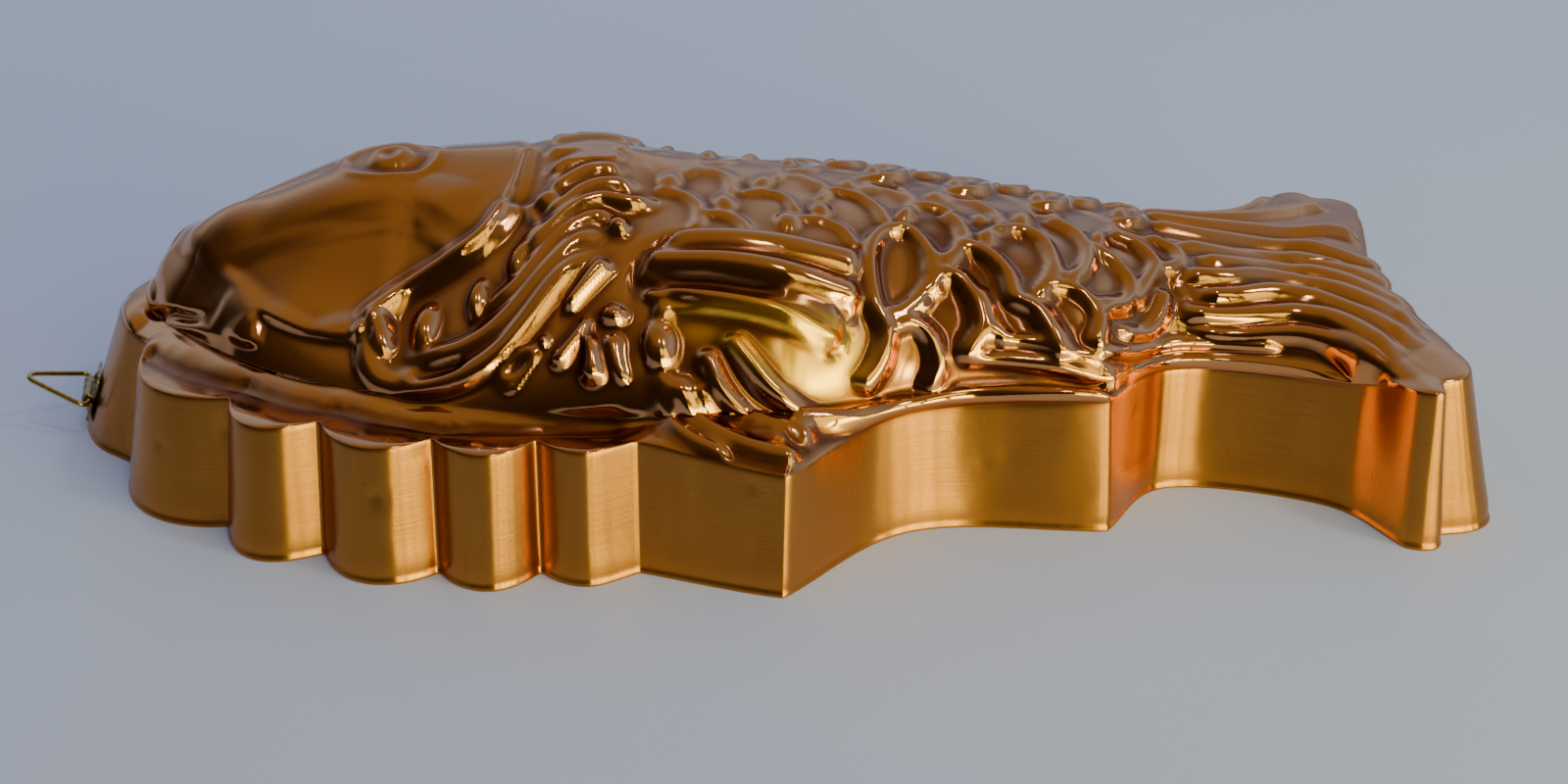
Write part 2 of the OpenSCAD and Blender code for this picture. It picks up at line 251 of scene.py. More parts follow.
# Ribs drawn towards a turn in the rim, in millimetres for each radian, and the most that counts.
TURN_WEIGHT = 5.0
TURN_LIMIT = 0.2


def rib_places(loft):
    """Places from nose to tail, in rows, closer together where the rim turns sharply."""
    places = np.linspace(0.0, HALF, HALF * DENSE + 1)
    weight = np.zeros(len(places) - 1)
    for side in (places, LOOP - places):
        rim = loft["rim"][np.rint(side * DENSE).astype(int) % (LOOP * DENSE)]
        step = np.diff(rim, axis=0)
        heading = np.unwrap(np.arctan2(step[:, 1], step[:, 0]))
        turn = np.abs(np.gradient(heading))
        weight += np.linalg.norm(step, axis=1) + TURN_WEIGHT * np.minimum(turn, TURN_LIMIT)
    total = np.concatenate([[0.0], np.cumsum(weight)])
    return np.interp(np.linspace(0.0, total[-1], RIBS_PER_SIDE + 1), total, places)


def sample(loop_values, places):
    """Values of the dense loop at places given in rows."""
    at = np.asarray(places) * DENSE
    low = np.floor(at).astype(int)
    t = (at - low)[:, None]
    n = len(loop_values)
    return loop_values[low % n] * (1.0 - t) + loop_values[(low + 1) % n] * t


def swells(x, y):
    """The height of the broad swellings at each place."""
    total = np.zeros_like(x)
    for sx, sy, along, across, turn, height in SWELLS:
        c, s = math.cos(math.radians(turn)), math.sin(math.radians(turn))
        u = ((x - sx) * c + (y - sy) * s) / along
        v = ((y - sy) * c - (x - sx) * s) / across
        total += height * np.exp(-u * u - v * v)
    return total


# Points of a dense line over the crown, over the ledge and down the wall.
CROWN_POINTS = 140
LEDGE_POINTS = 25
WALL_POINTS = 70
# The swellings fade out towards the crown's foot with this power.
SWELL_FADE = 6


def rib_sections(rim, edge, plain_edge, rest):
    """For each rib, a dense line from the spine over the crown and ledge and down the wall."""
    f = np.sin(np.linspace(0.0, math.pi / 2.0, CROWN_POINTS))[None, :]
    spine = np.stack([rest[:, SPINE_X], np.zeros(len(rest))], 1)
    body = spine + rest[:, FRACTION, None] * (plain_edge - spine)
    plan = spine[:, None] + f[..., None] * (body - spine)[:, None]
    fall = np.maximum(1.0 - f ** rest[:, POWER, None], 0.0) ** rest[:, SHAPE, None]
    z = rest[:, BODY_Z, None] + (rest[:, SPINE_Z] - rest[:, BODY_Z])[:, None] * fall
    z = z + swells(plan[..., 0], plan[..., 1]) * (1.0 - f**SWELL_FADE)
    crown = np.dstack([plan, z])
    edge_point = np.hstack([edge, rest[:, EDGE_Z, None]])
    rim_point = np.hstack([rim, np.zeros((len(rim), 1))])
    t = np.linspace(0.0, 1.0, LEDGE_POINTS)[1:, None]
    ledge = crown[:, -1:, :] + (edge_point[:, None] - crown[:, -1:, :]) * t
    t = np.linspace(0.0, 1.0, WALL_POINTS)[1:, None]
    wall = edge_point[:, None] + (rim_point - edge_point)[:, None] * t
    return np.concatenate([crown, ledge, wall], 1), crown.shape[1], ledge.shape[1]


FILLET = 0.85
RIB_SPACING = 0.4
# How strongly rings crowd towards the wall's edge; 1 is evenly.
CROWDING = 1.5


def eased_ribs(lines, n_crown, n_ledge):
    """Each rib resampled into its rings, with the body line and the wall's edge filleted."""
    ribs = []
    reach = int(4 * FILLET / RIB_SPACING)
    kernel = np.exp(-0.5 * (np.arange(-reach, reach + 1) * RIB_SPACING / FILLET) ** 2)
    kernel /= kernel.sum()
    # Rings lie closer together on both sides of the wall's edge.
    ledge = np.linspace(0.0, 1.0, LEDGE_RINGS + 1)[:-1]
    wall = np.linspace(0.0, 1.0, WALL_RINGS + 1)
    for line in lines:
        at = np.concatenate([[0.0], np.cumsum(np.linalg.norm(np.diff(line, axis=0), axis=1))])
        even = np.arange(0.0, at[-1], RIB_SPACING)
        track = np.stack([np.interp(even, at, line[:, c]) for c in range(3)], 1)
        before = 2.0 * track[0] - track[reach:0:-1]
        after = 2.0 * track[-1] - track[-2 : -reach - 2 : -1]
        padded = np.vstack([before, track, after])
        track = np.stack([np.convolve(padded[:, c], kernel, "valid") for c in range(3)], 1)
        marks = at[n_crown - 1], at[n_crown + n_ledge - 1]
        at_hem = at[-1] - (at[-1] - marks[1]) * HEM_ZONE / line[n_crown + n_ledge - 1, 2]
        places = np.concatenate(
            [
                np.linspace(0.0, marks[0], CROWN_RINGS + 1)[:-1],
                marks[0] + (marks[1] - marks[0]) * (1.0 - (1.0 - ledge) ** CROWDING),
                marks[1] + (at_hem - marks[1]) * wall**CROWDING,
            ]
        )
        ribs.append(np.stack([np.interp(places, even, track[:, c]) for c in range(3)], 1))
    return np.array(ribs)


# ---------------------------------------------------------------- relief of the fish
# Places are [x, girth]: girth is measured down the skin from the crest, positive on the near
# (belly) side and negative on the far (back) side.

# Strokes: [half width at the start, half width at the end, height, points]. The mouth's is sunk.
MOUTH = [
    [2.2, 1.8, 1.8, [(-175, 27), (-167, 33), (-159, 38), (-150, 42)]],
]
FACE = [
    [9.0, 8.0, 1.3, [(-150, 15), (-136, 12), (-118, 13), (-100, 16), (-86, 20), (-75, 26)]],
    [1.4, 1.4, 0.7, [(-166, 38), (-157, 41.5), (-150, 46), (-142, 52), (-137, 56)]],
    [6.5, 5.5, 1.2, [(-147, 42), (-141, 47), (-136, 54)]],
    [1.6, 1.4, 0.8, [(-166, 50), (-157, 57), (-147, 64), (-138, 69)]],
    [1.4, 1.2, 0.6, [(-137, 45), (-133, 49), (-127, 54), (-120, 59)]],
]
GILL = [
    [5.0, 4.0, 3.0, [(-100, 55), (-92, 48), (-84, 44), (-76, 40), (-70, 35), (-66, 28)]],
    [2.6, 2.4, 1.3, [(-66, 28), (-63, 16), (-62, 2), (-59, -12), (-52, -28), (-42, -42)]],
    [3.6, 3.6, 2.4, [(-102, 62), (-101, 70), (-97, 76), (-90, 79)]],
    [2.0, 1.8, 1.2, [(-60, 27), (-58, 32), (-54, 37)]],
]
HAIR = [
    [4.8, 3.6, 3.4, [(-99, 76), (-86, 79.5), (-75, 79), (-66, 74.5), (-59, 67), (-49, 53.5), (-38, 45.5)]],
    [3.6, 3.6, 3.0, [(-92, 70), (-80, 71.5), (-70, 68.5), (-62, 62), (-53, 51), (-46, 43.5), (-38, 39.5)]],
    [3.0, 3.2, 2.8, [(-72, 61), (-62, 55), (-55, 46), (-49, 39), (-42, 34.5), (-35, 34.5)]],
    [3.6, 2.4, 3.6, [(-62, 47), (-54, 38.5), (-47, 31), (-40, 27.5), (-32, 28), (-24, 25)]],
    [3.0, 3.2, 3.0, [(-56, 33), (-50, 28.5), (-45, 23.5), (-38, 20.5), (-30, 21)]],
    [3.6, 3.0, 3.0, [(-55, 24), (-48, 18), (-42, 14.5), (-34, 14.5)]],
    [3.0, 3.4, 2.4, [(-56, 15), (-50, 10), (-43, 7), (-35, 8.5)]],
    [3.0, 3.4, 1.8, [(-58, 4), (-50, 0), (-42, -1), (-34, 2)]],
    [3.2, 3.4, 2.2, [(-58, -8), (-50, -12), (-42, -13), (-33, -10)]],
    [3.2, 3.4, 2.6, [(-54, -20), (-46, -25), (-38, -25), (-30, -21)]],
    [3.2, 3.2, 2.6, [(-47, -33), (-39, -38), (-31, -38), (-24, -33)]],
    [1.6, 3.4, 4.0, [(-48, 66), (-44, 60), (-40, 54), (-37, 50)]],
]
# Drops that hang under the strands, each thin at the top and round at the bottom.
DROPS = [
    [1.2, 3.2, 3.2, [(-53, 73), (-57, 78), (-62, 83)]],
    [1.2, 2.6, 3.2, [(-42, 69), (-45, 74), (-49, 79)]],
    [1.6, 3.4, 4.0, [(-41, 74), (-40, 79), (-40, 83)]],
    [2.8, 1.2, 2.4, [(-35, 75), (-34, 80), (-32, 85)]],
]
FIN = [
    [4.6, 4.8, 3.2, [(-17, 44.5), (0, 44.5), (28, 45)]],
    [3.4, 3.8, 3.2, [(-23, 51.5), (-5, 53), (12, 55.5), (27, 56)]],
    [1.9, 2.2, 2.8, [(-25, 61.5), (-8, 63.5), (8, 67), (22, 70.5)]],
    [1.5, 1.6, 2.4, [(-23, 65), (-8, 67), (8, 70.5), (20, 73.5)]],
]
PELVIC_FIN = [
    [3.0, 3.4, 3.2, [(-3, 76), (1, 81), (6, 87), (13, 92), (20, 94)]],
    [2.8, 3.0, 3.6, [(-10, 80), (-7, 87), (-2, 93), (5, 97), (15, 101)]],
    [3.2, 3.0, 3.6, [(-17, 88), (-13, 96), (-6, 103), (3, 108), (11, 110)]],
    [2.6, 2.6, 2.6, [(-21, 86), (-20, 95), (-15, 103), (-7, 109)]],
    [2.2, 2.2, 2.6, [(-12, 88), (-8, 95), (0, 101), (9, 105)]],
]
BELLY = [
    [3.6, 4.0, 4.2, [(14, 94), (22, 93), (32, 88), (42, 82.5), (55, 77.5), (68, 75.5), (82, 76), (95, 78)]],
    [2.4, 2.8, 2.2, [(59, 66), (70, 65.5), (84, 66), (95, 68)]],
    [2.2, 2.4, 1.8, [(66, 60), (76, 60), (87, 62), (96, 64)]],
    [2.4, 2.2, 2.4, [(97, 66), (104, 61), (110, 55), (118, 50),
                     (130, 48), (145, 49), (158, 53), (170, 64)]],
    [2.2, 2.0, 2.2, [(94, 61), (103, 56), (111, 49), (120, 44.5), (132, 43.5), (144, 44)]],
]
TAIL = [
    [2.4, 3.8, 2.4, [(122, 40.5), (134, 41), (146, 40.5), (155, 41.5), (163, 47), (171, 60)]],
    [3.0, 5.0, 2.6, [(119, 35.5), (131, 35.5), (143, 34.5), (154, 34), (165, 40), (177, 56)]],
    [3.2, 5.2, 2.9, [(124, 29.5), (136, 28.5), (148, 25), (160, 26.5), (172, 36), (182, 51)]],
    [3.4, 5.4, 2.8, [(119, 22.5), (134, 21), (148, 16), (163, 17), (176, 28), (184, 42)]],
    [3.4, 5.4, 2.4, [(126, 14), (138, 11), (150, 7), (166, 8), (178, 16), (186, 28)]],
    [3.4, 5.4, 2.3, [(120, 5), (136, 2), (150, -2), (166, -2), (180, 3), (187, 10)]],
    [3.0, 5.2, 2.3, [(112, -8), (130, -9), (148, -12), (164, -13), (180, -10), (187, -8)]],
    [3.0, 5.0, 2.4, [(112, -19), (130, -20), (148, -23), (162, -26), (174, -29), (184, -30)]],
    [2.8, 4.6, 2.4, [(112, -30), (130, -31), (148, -35), (160, -42), (170, -50), (179, -56)]],
    [2.4, 2.4, 2.2, [(102, -62), (112, -52), (126, -47), (142, -50), (156, -58), (165, -68)]],
]
# The rounded lips of the scales: bold ones towards the tail and faint ones over the shoulder.
SCALE_LIPS = [
    [2.6, 3.2, 3.7, [(41, 28), (36.5, 31), (33.5, 38), (33, 48), (34, 57), (37, 64), (35, 72), (31, 79)]],
    [2.4, 3.4, 3.4, [(39, 28.5), (44, 28), (48, 32), (50, 38), (50, 43)]],
    [3.0, 3.2, 2.8, [(50, 41), (48, 49), (42, 56), (36, 60)]],
    [2.8, 3.5, 3.7, [(50, 48), (53, 42.5), (58, 44), (62, 51), (63, 58), (59, 65)]],
    [2.8, 3.2, 3.2, [(39, 62), (44, 59), (49, 62), (51, 69), (49, 76)]],
    [2.5, 3.2, 3.2, [(56, 18), (59, 24), (58, 32), (54, 39)]],
    [2.8, 3.5, 3.7, [(60, 31), (66, 34), (70.5, 40), (72, 48), (78, 51), (82, 57), (84, 62)]],
    [2.8, 3.2, 3.4, [(69, 22), (75, 19.5), (81, 23), (84, 31), (83, 39), (79, 46)]],
    [2.5, 2.8, 2.8, [(64, 47), (65, 55), (69, 60)]],
    [2.5, 3.2, 3.2, [(86, 10), (92, 16), (94, 25), (92, 33), (88, 40)]],
    [2.5, 3.0, 3.0, [(84, 42), (90, 43), (95, 49), (94, 58)]],
    [2.5, 3.0, 3.2, [(96, 21), (102, 25), (105.5, 32), (103, 40), (97, 45)]],
    [2.5, 3.0, 3.0, [(104, 10), (110, 13), (114, 20), (111, 28), (107, 36)]],
    [2.5, 2.8, 2.5, [(103, 50), (109, 46), (113, 40), (116, 32)]],
    [2.5, 2.8, 2.5, [(115, 6), (121, 10), (122, 16), (118, 21)]],
    [1.8, 2.0, 1.7, [(-24, 19), (-18, 20), (-14, 25), (-13, 32), (-14, 38)]],
    [1.8, 2.0, 1.7, [(-11, 29), (-5, 30), (-1, 34), (0, 38)]],
    [1.8, 1.8, 1.6, [(0, 17), (6, 16), (11, 19), (13, 25)]],
    [1.8, 2.3, 2.0, [(24, 10), (31, 12), (36, 18), (38, 25)]],
    [1.8, 1.8, 1.6, [(13, 29), (20, 28), (26, 31), (29, 37)]],
    [1.8, 1.8, 1.5, [(-10, 4), (-6, 9), (-5, 16), (-7, 21)]],
    [1.8, 1.8, 1.7, [(43, 2), (46, 8), (46, 15)]],
    [1.8, 2.2, 2.0, [(49, 12), (55, 13), (60, 19)]],
    [1.9, 2.2, 2.1, [(64, 4), (69, 9), (71, 16), (70, 21)]],
    [1.8, 1.8, 1.6, [(14, 2), (20, 6), (22, 12), (20, 17)]],
]
# Raised beads: [x, girth, half length along the turn, half width, turn, height].
BEADS = [
    [-177, 27, 12.5, 6.4, 100, 2.6],
    [-98, 62, 8.5, 3.6, 79, 4.2],
    [-86, 62, 7.8, 3.6, 96, 4.2],
    [-72, 56, 6.4, 2.6, 98, 3.8],
    [-61.5, 46, 6.2, 2.4, 100, 3.2],
    [-57, 38, 4.6, 2.4, 140, 3.0],
    [-55, 26, 4.2, 3.8, 0, 3.2],
    [-52, 17, 3.0, 2.4, 0, 1.6],
    [-35, 67, 3.6, 3.2, 0, 3.4],
    [-35, 38, 3.4, 3.0, 60, 3.8],
    [-22, 66, 4.0, 2.4, 90, 2.2],
    [-23, 76, 7.0, 4.2, 80, 3.4],
    [97, 67, 4.2, 3.2, 90, 3.6],
    [40, 43, 12.0, 5.6, 95, -1.6],
    [55, 53, 7.0, 6.0, 60, -1.4],
    [44, 67, 6.0, 5.0, 60, -1.3],
    [52, 27, 8.5, 5.5, 80, -1.3],
    [76, 31, 9.5, 6.0, 95, -1.6],
    [65, 43, 7.0, 4.5, 70, -1.2],
    [73, 54, 4.5, 5.0, 60, -1.0],
    [88, 27, 9.0, 4.5, 95, -1.3],
    [99, 33, 7.0, 4.5, 95, -1.2],
    [107, 21, 7.5, 4.5, 95, -1.2],
    [88, 52, 5.5, 5.0, 60, -1.1],
    [-55, -22, 4.0, 3.6, 0, 2.6],
    [-46, -35, 4.0, 3.6, 0, 2.6],
]
# Knobs in the middle of the scales, as beads.
KNOBS = [
    [-22, 14, 5.0, 3.4, 105, 2.2],
    [-6.5, 24, 5.0, 3.2, 80, 2.4],
    [4, 10, 5.8, 3.0, 108, 2.2],
    [11, 31, 4.6, 3.6, 90, 2.2],
    [20, 23, 4.4, 3.0, 92, 2.2],
    [28, 4, 4.4, 2.4, 90, 1.8],
    [43.5, 20, 5.4, 2.6, 112, 3.2],
    [53, 4, 5.0, 2.6, 112, 2.4],
    [66, 26, 5.4, 3.0, 106, 3.4],
    [65, 15, 4.2, 2.8, 100, 1.8],
    [77, 11, 6.4, 3.2, 104, 2.8],
    [87, 4, 4.6, 2.4, 100, 2.0],
    [98.5, 14, 6.0, 2.6, 100, 3.0],
    [104, 3, 4.0, 2.4, 95, 2.0],
    [117, 3, 4.4, 2.8, 95, 1.6],
    [36, 5, 3.6, 2.2, 100, 1.4],
    [-11, 5, 3.8, 2.4, 100, 1.6],
]
# Raised rings with a hollow inside: [x, girth, half length, half width, turn, height].
LOOPS = [
    [-60, 79, 6.0, 3.0, -40, 1.6],
]
# Sunk strokes: [half width at the start, half width at the end, depth, points].
GROOVES = [
    [4.0, 4.0, 0.7, [(-130, 25), (-112, 24), (-97, 23), (-89, 26), (-82, 32), (-76, 34), (-68, 31)]],
    [2.0, 1.8, 2.4, [(-89, 77), (-82, 77), (-74, 75.5)]],
    [1.2, 1.2, 1.2, [(-98, 83), (-85, 84), (-74, 83.5), (-67, 80)]],
    [3.0, 3.5, 2.0, [(-98, 90), (-80, 94), (-60, 96.5), (-40, 96.5), (-31, 94.5)]],
    [1.8, 2.2, 1.8, [(-29, 64), (-30, 56), (-27, 48), (-20, 41.5), (-5, 38.5)]],
    [1.6, 1.4, 2.2, [(-25, 57.5), (-10, 58.8), (0, 60.5), (10, 62)]],
    [1.0, 1.0, 0.9, [(-20, 48.2), (10, 50), (27, 50)]],
    [1.6, 1.6, 1.4, [(118, 25), (118.5, 31), (119, 38)]],
    [1.6, 2.0, 1.6, [(23, 59), (26, 64), (25, 70), (21, 75)]],
]
EYE = (-101, 2)

# Strokes blend into the sheet over this much more than their stated width, and beads less so.
SPREAD = 1.22
BEAD_SPREAD = 1.08
# Lower numbers make a stroke's or a bead's section squarer.
STROKE_POWER = 1.3
BEAD_POWER = 0.7


# How blunt a tapered end is: the part of the taper that is left out.
BLUNTNESS = 0.15


def stroke_heights(x, g, strokes, taper=0.0):
    """The highest of some raised strokes at each place, and 0 between them.

    A taper is the part of a stroke at each end over which it rises.
    """
    field = np.zeros_like(x)
    for start_width, end_width, height, points in strokes:
        start_width, end_width = start_width * SPREAD, end_width * SPREAD
        path = smooth_path(points)
        reach = max(start_width, end_width) + 0.5
        low, high = path.min(0) - reach, path.max(0) + reach
        near = np.nonzero((x > low[0]) & (x < high[0]) & (g > low[1]) & (g < high[1]))
        px, pg = x[near], g[near]
        best = np.full(px.shape, np.inf)
        place = np.zeros(px.shape)
        for i in range(len(path) - 1):
            a, along = path[i], path[i + 1] - path[i]
            t = ((px - a[0]) * along[0] + (pg - a[1]) * along[1]) / (along @ along)
            t = np.clip(t, 0.0, 1.0)
            away = np.hypot(px - a[0] - t * along[0], pg - a[1] - t * along[1])
            width = start_width + (end_width - start_width) * (i + t) / (len(path) - 1)
            place = np.where(away / width < best, (i + t) / (len(path) - 1), place)
            best = np.minimum(best, away / width)
        rise = height * np.maximum(1.0 - best**2, 0.0) ** STROKE_POWER
        if taper:
            from_end = np.minimum(place, 1.0 - place)
            rise = rise * smoothstep(0.0, taper, from_end + BLUNTNESS * taper)
        field[near] = np.maximum(field[near], rise)
    return field


def oval_distance(x, g, cx, cg, half_length, half_width, turn):
    """0 at an oval's middle and 1 on its outline."""
    c, s = math.cos(math.radians(turn)), math.sin(math.radians(turn))
    u = ((x - cx) * c + (g - cg) * s) / half_length
    v = ((g - cg) * c - (x - cx) * s) / half_width
    return np.hypot(u, v)


SCALE_SEED = 7
SCALE_PITCH_X = 24.0
SCALE_PITCH_G = 13.5
# A scale's radius by the gill, how much smaller it is by the tail, and how far its edge can reach.
SCALE_RADIUS = 13.0
SCALE_SHRINK = 2.0
SCALE_REACH = 18
SCALE_LIP = 2.2
SCALE_KNOB = 2.2
# Rows past this girth are faint and have no knobs: the near side's scales are drawn one by one.
SCALE_CREST = -4.0
SCALE_FAINT = 0.35


def scale_heights(x, g):
    """Overlapping scales in staggered rows, each a tilted plate with a thick rounded lip."""
    rng = np.random.default_rng(SCALE_SEED)
    field = np.zeros_like(x)
    for row in range(-6, 7):
        for column in range(-1, 7):
            cx = -26.0 + SCALE_PITCH_X * (column + 0.5 * (row % 2)) + rng.uniform(-1.0, 1.0)
            cg = 1.0 + SCALE_PITCH_G * row + rng.uniform(-0.8, 0.8)
            size = SCALE_RADIUS - SCALE_SHRINK * smoothstep(40, 120, cx)
            size = size * rng.uniform(0.96, 1.04)
            bold = 0.30 + 0.70 * smoothstep(8, 42, cx + 0.5 * abs(cg))
            if cg > SCALE_CREST:
                bold = SCALE_FAINT
            near = np.nonzero((abs(x - cx) < SCALE_REACH) & (abs(g - cg) < SCALE_REACH))
            px, pg = x[near], g[near]
            away = np.hypot(px - cx, (pg - cg) * 0.98)
            plate = (1.0 - smoothstep(size - 0.8, size + 1.0, away)) * (1.2 + 1.2 * (px - cx) / size)
            lip = np.exp(-(((away - size + 1.9) / 1.7) ** 2)) * smoothstep(-6, 5, px - cx) * SCALE_LIP
            rise = bold * (plate + lip)
            if cg < SCALE_CREST:
                knob = oval_distance(px, pg, cx + 2.0, cg, 5.2, 2.9, 108.0)
                rise = rise + SCALE_KNOB * np.maximum(1.0 - knob**2, 0.0) ** 0.8
            field[near] = np.maximum(field[near], rise)
    return field


def scale_mask(x, g):
    """1 where scales in rows lie: from the gill to the tail, over the back and down to its fin."""
    upper = np.interp(x, [-30, 60, 120], [-60, -62, -38])
    edge = smoothstep(0, 4, g - upper) * (1.0 - smoothstep(6, 14, g))
    return edge * smoothstep(-31, -24, x) * (1.0 - smoothstep(112, 120, x))


def eye_heights(x, g):
    """An almond lid round a domed eye with a sunk pupil."""
    cx, cg = EYE
    lid = oval_distance(x, g, cx, cg - 0.5, 14.5, 10.5, 4.0)
    ball = oval_distance(x, g, cx, cg, 7.0, 5.8, 0.0)
    field = 0.9 * np.exp(-(((lid - 0.92) / 0.13) ** 2))
    field -= 0.7 * np.exp(-(((lid - 0.70) / 0.16) ** 2))
    field += 1.7 * np.maximum(1.0 - ball**2, 0.0) ** 0.8
    pupil = np.maximum(1.0 - (ball / 0.5) ** 2, 0.0)
    return field - 1.5 * pupil


RAYS = 14
RAY_PITCH = 8.6


def dorsal_heights(x, g):
    """The fin along the back: close rays leaning towards the tail."""
    rays = []
    for i in range(RAYS):
        x0 = -36.0 + RAY_PITCH * i
        tall = 84.0 + 8.0 * math.sin(math.pi * i / (RAYS - 1.0))
        rays.append([2.6, 3.6, 2.8, [(x0, -63), (x0 + 5, -tall + 8), (x0 + 12, -tall)]])
    root = [2.4, 2.4, 3.0, [(-40, -60), (-10, -63), (30, -64), (60, -63), (86, -60)]]
    return stroke_heights(x, g, rays + [root])


def cheek_hollow(x, g):
    """The smooth hollow of the gill cover."""
    top = np.interp(x, [-150, -130, -105, -92, -80, -66], [24, 23, 23, 24, 36, 38])
    low = np.interp(x, [-150, -142, -130, -117, -100, -90, -80, -66], [26, 36, 51, 61, 58, 50, 44, 34])
    return smoothstep(0, 8, g - top) * smoothstep(0, 8, low - g)


# Heights of the face over the jaw, of the jaw over the ledge, and of the dip beside the jaw.
FACE_STEP = 2.2
JAW_STEP = 1.4
JAW_DIP = 2.2
JAW_DIP_REACH = 15.0


def head_steps(x, g):
    """The face and cheek stand over the jaw, and the jaw over the ledge, with crisp lower edges."""
    front = np.interp(g, [0, 4, 14, 22, 35, 48], [-163, -161, -155, -150, -143, -137])
    face_low = np.interp(x, [-172, -166, -157, -150, -142, -137, -132], [35, 38, 41.5, 46, 52, 56.5, 59])
    cheek_low = np.interp(
        x,
        [-137, -133, -127, -120, -113, -104, -100, -92, -84, -76, -70, -66, -63],
        [45, 49, 54, 59, 62, 64, 60, 50, 45, 41, 36, 30, 0],
    )
    jaw_low = np.interp(
        x,
        [-166, -157, -147, -140, -130, -120, -105, -95, -80, -60, -30],
        [50, 57, 64, 68, 74, 79, 84, 88, 92, 95, 95],
    )
    face = smoothstep(-1.3, 1.3, face_low - g) * smoothstep(1.5, -1.5, x + 132.5)
    cheek = smoothstep(-1.3, 1.3, cheek_low - g) * smoothstep(-1.5, 1.5, x + 137.0)
    raised = np.maximum(face, cheek) * smoothstep(-8.0, 2.0, x - front) * smoothstep(-60, -67, x)
    jaw = smoothstep(-1.3, 1.3, jaw_low - g) * smoothstep(-178, -164, x) * smoothstep(-92, -100, x)
    beside = np.clip((g - jaw_low) / JAW_DIP_REACH, 0.0, 1.0)
    dip = (1.0 - beside) * smoothstep(-1.0, 2.0, g - jaw_low)
    dip = dip * smoothstep(-174, -166, x) * smoothstep(-22, -34, x)
    return (FACE_STEP * raised + JAW_STEP * jaw - JAW_DIP * dip) * smoothstep(-50, -10, g)


def beads(field, x, g, rows):
    """The field with raised ovals in it, and sunk ones where the height is negative."""
    for cx, cg, half_length, half_width, turn, height in rows:
        away = oval_distance(x, g, cx, cg, half_length, half_width, turn)
        bead = height * np.maximum(1.0 - (away / BEAD_SPREAD) ** 2, 0.0) ** BEAD_POWER
        field = np.maximum(field, bead) if height > 0 else field + bead
    return field


def fin_plate(x, g):
    """1 on the sheet under the side fin's rays."""
    low = np.interp(x, [-30, -10, 10, 26, 30], [56, 68, 72, 74, 50])
    top = np.interp(x, [-30, -18, 0, 30], [48, 40, 39, 40])
    plate = smoothstep(0, 2.5, g - top) * smoothstep(0, 2.5, low - g)
    return plate * (smoothstep(-31, -27, x) * (1.0 - smoothstep(27, 31, x)))


FIN_SHEET = 1.8
FIN_RAYS = 0.8
TAIL_RAYS = 1.15
CHEEK_DEPTH = 1.3
# The part of each stroke over which its ends rise or sink.
HAIR_TAPER = 0.2
TAIL_TAPER = 0.12
GROOVE_TAPER = 0.25
MOUTH_TAPER = 0.3


def relief(x, g):
    """Height of the pressed drawing over the plain form, in millimetres."""
    field = stroke_heights(x, g, GILL + DROPS + PELVIC_FIN + BELLY + SCALE_LIPS)
    field = np.maximum(field, stroke_heights(x, g, FACE + HAIR, HAIR_TAPER))
    fin = FIN_SHEET * fin_plate(x, g) + FIN_RAYS * stroke_heights(x, g, FIN)
    field = np.maximum(field, fin)
    field = np.maximum(field, scale_heights(x, g) * scale_mask(x, g))
    field = np.maximum(field, TAIL_RAYS * stroke_heights(x, g, TAIL, TAIL_TAPER))
    field = np.maximum(field, dorsal_heights(x, g))
    field = beads(field, x, g, BEADS + KNOBS)
    for cx, cg, half_length, half_width, turn, height in LOOPS:
        away = oval_distance(x, g, cx, cg, half_length, half_width, turn)
        field = np.where(away < 1.3, height * np.exp(-(((away - 0.85) / 0.3) ** 2)), field)
    field += eye_heights(x, g) + head_steps(x, g)
    mouth = stroke_heights(x, abs(g), MOUTH, MOUTH_TAPER)
    field -= stroke_heights(x, g, GROOVES, GROOVE_TAPER) + mouth
    field -= CHEEK_DEPTH * cheek_hollow(x, g)
    # A little unevenness, as hand-finished sheet has.
    field += 0.10 * np.sin(x / 7.3 + 1.0) * np.sin(g / 9.1) + 0.05 * np.sin(x / 3.9 + g / 5.3)
    return field


# ---------------------------------------------------------------- the pan's mesh

# The drawing's highest point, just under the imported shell's.
HIGHEST = 86.45
# Girth beside the crest over which the sides' own directions take over.
CREST_BLEND = 8.0
# What is left of the drawing in the last rings before the ledge turns down into the wall.
EDGE_FADE = [0.8, 0.5, 0.2, 0.0]
# Passes that ease the drawing's creases, and that find the level round a groove.
CREASE_PASSES = 3
LEVEL_PASSES = 12
# The hem's outside as [height, how far it is drawn in], down to the rim.
HEM_LINE = [
    [5.0, 0.02], [4.0, 0.08], [3.2, 0.18], [2.6, 0.28], [2.1, 0.32], [1.7, 0.26],
    [1.3, 0.13], [0.9, 0.03], [0.55, 0.0], [0.3, 0.08], [0.12, 0.22], [0.0, 0.45],
]
# The hem's back, as [height, how far in], from the wall's inside down to the rim.
HEM_BACK = [
    [HEM_HEIGHT + 2.0, SHEET], [HEM_HEIGHT + 0.5, SHEET], [HEM_HEIGHT, HEM_WIDTH],
    [0.3, HEM_WIDTH], [0.0, HEM_WIDTH - 0.4],
]


def grid_normals(ribs, closed_ends):
    """Vertex normals of the closed grid of ribs."""
    along = np.roll(ribs, -1, 0) - np.roll(ribs, 1, 0)
    down = np.empty_like(ribs)
    down[:, 1:-1] = ribs[:, 2:] - ribs[:, :-2]
    down[:, -1] = ribs[:, -1] - ribs[:, -2]
    down[:, 0] = ribs[:, 1] - closed_ends
    normal = np.cross(down, along)
    length = np.linalg.norm(normal, axis=2)[..., None]
    return normal / np.maximum(length, 1e-9)


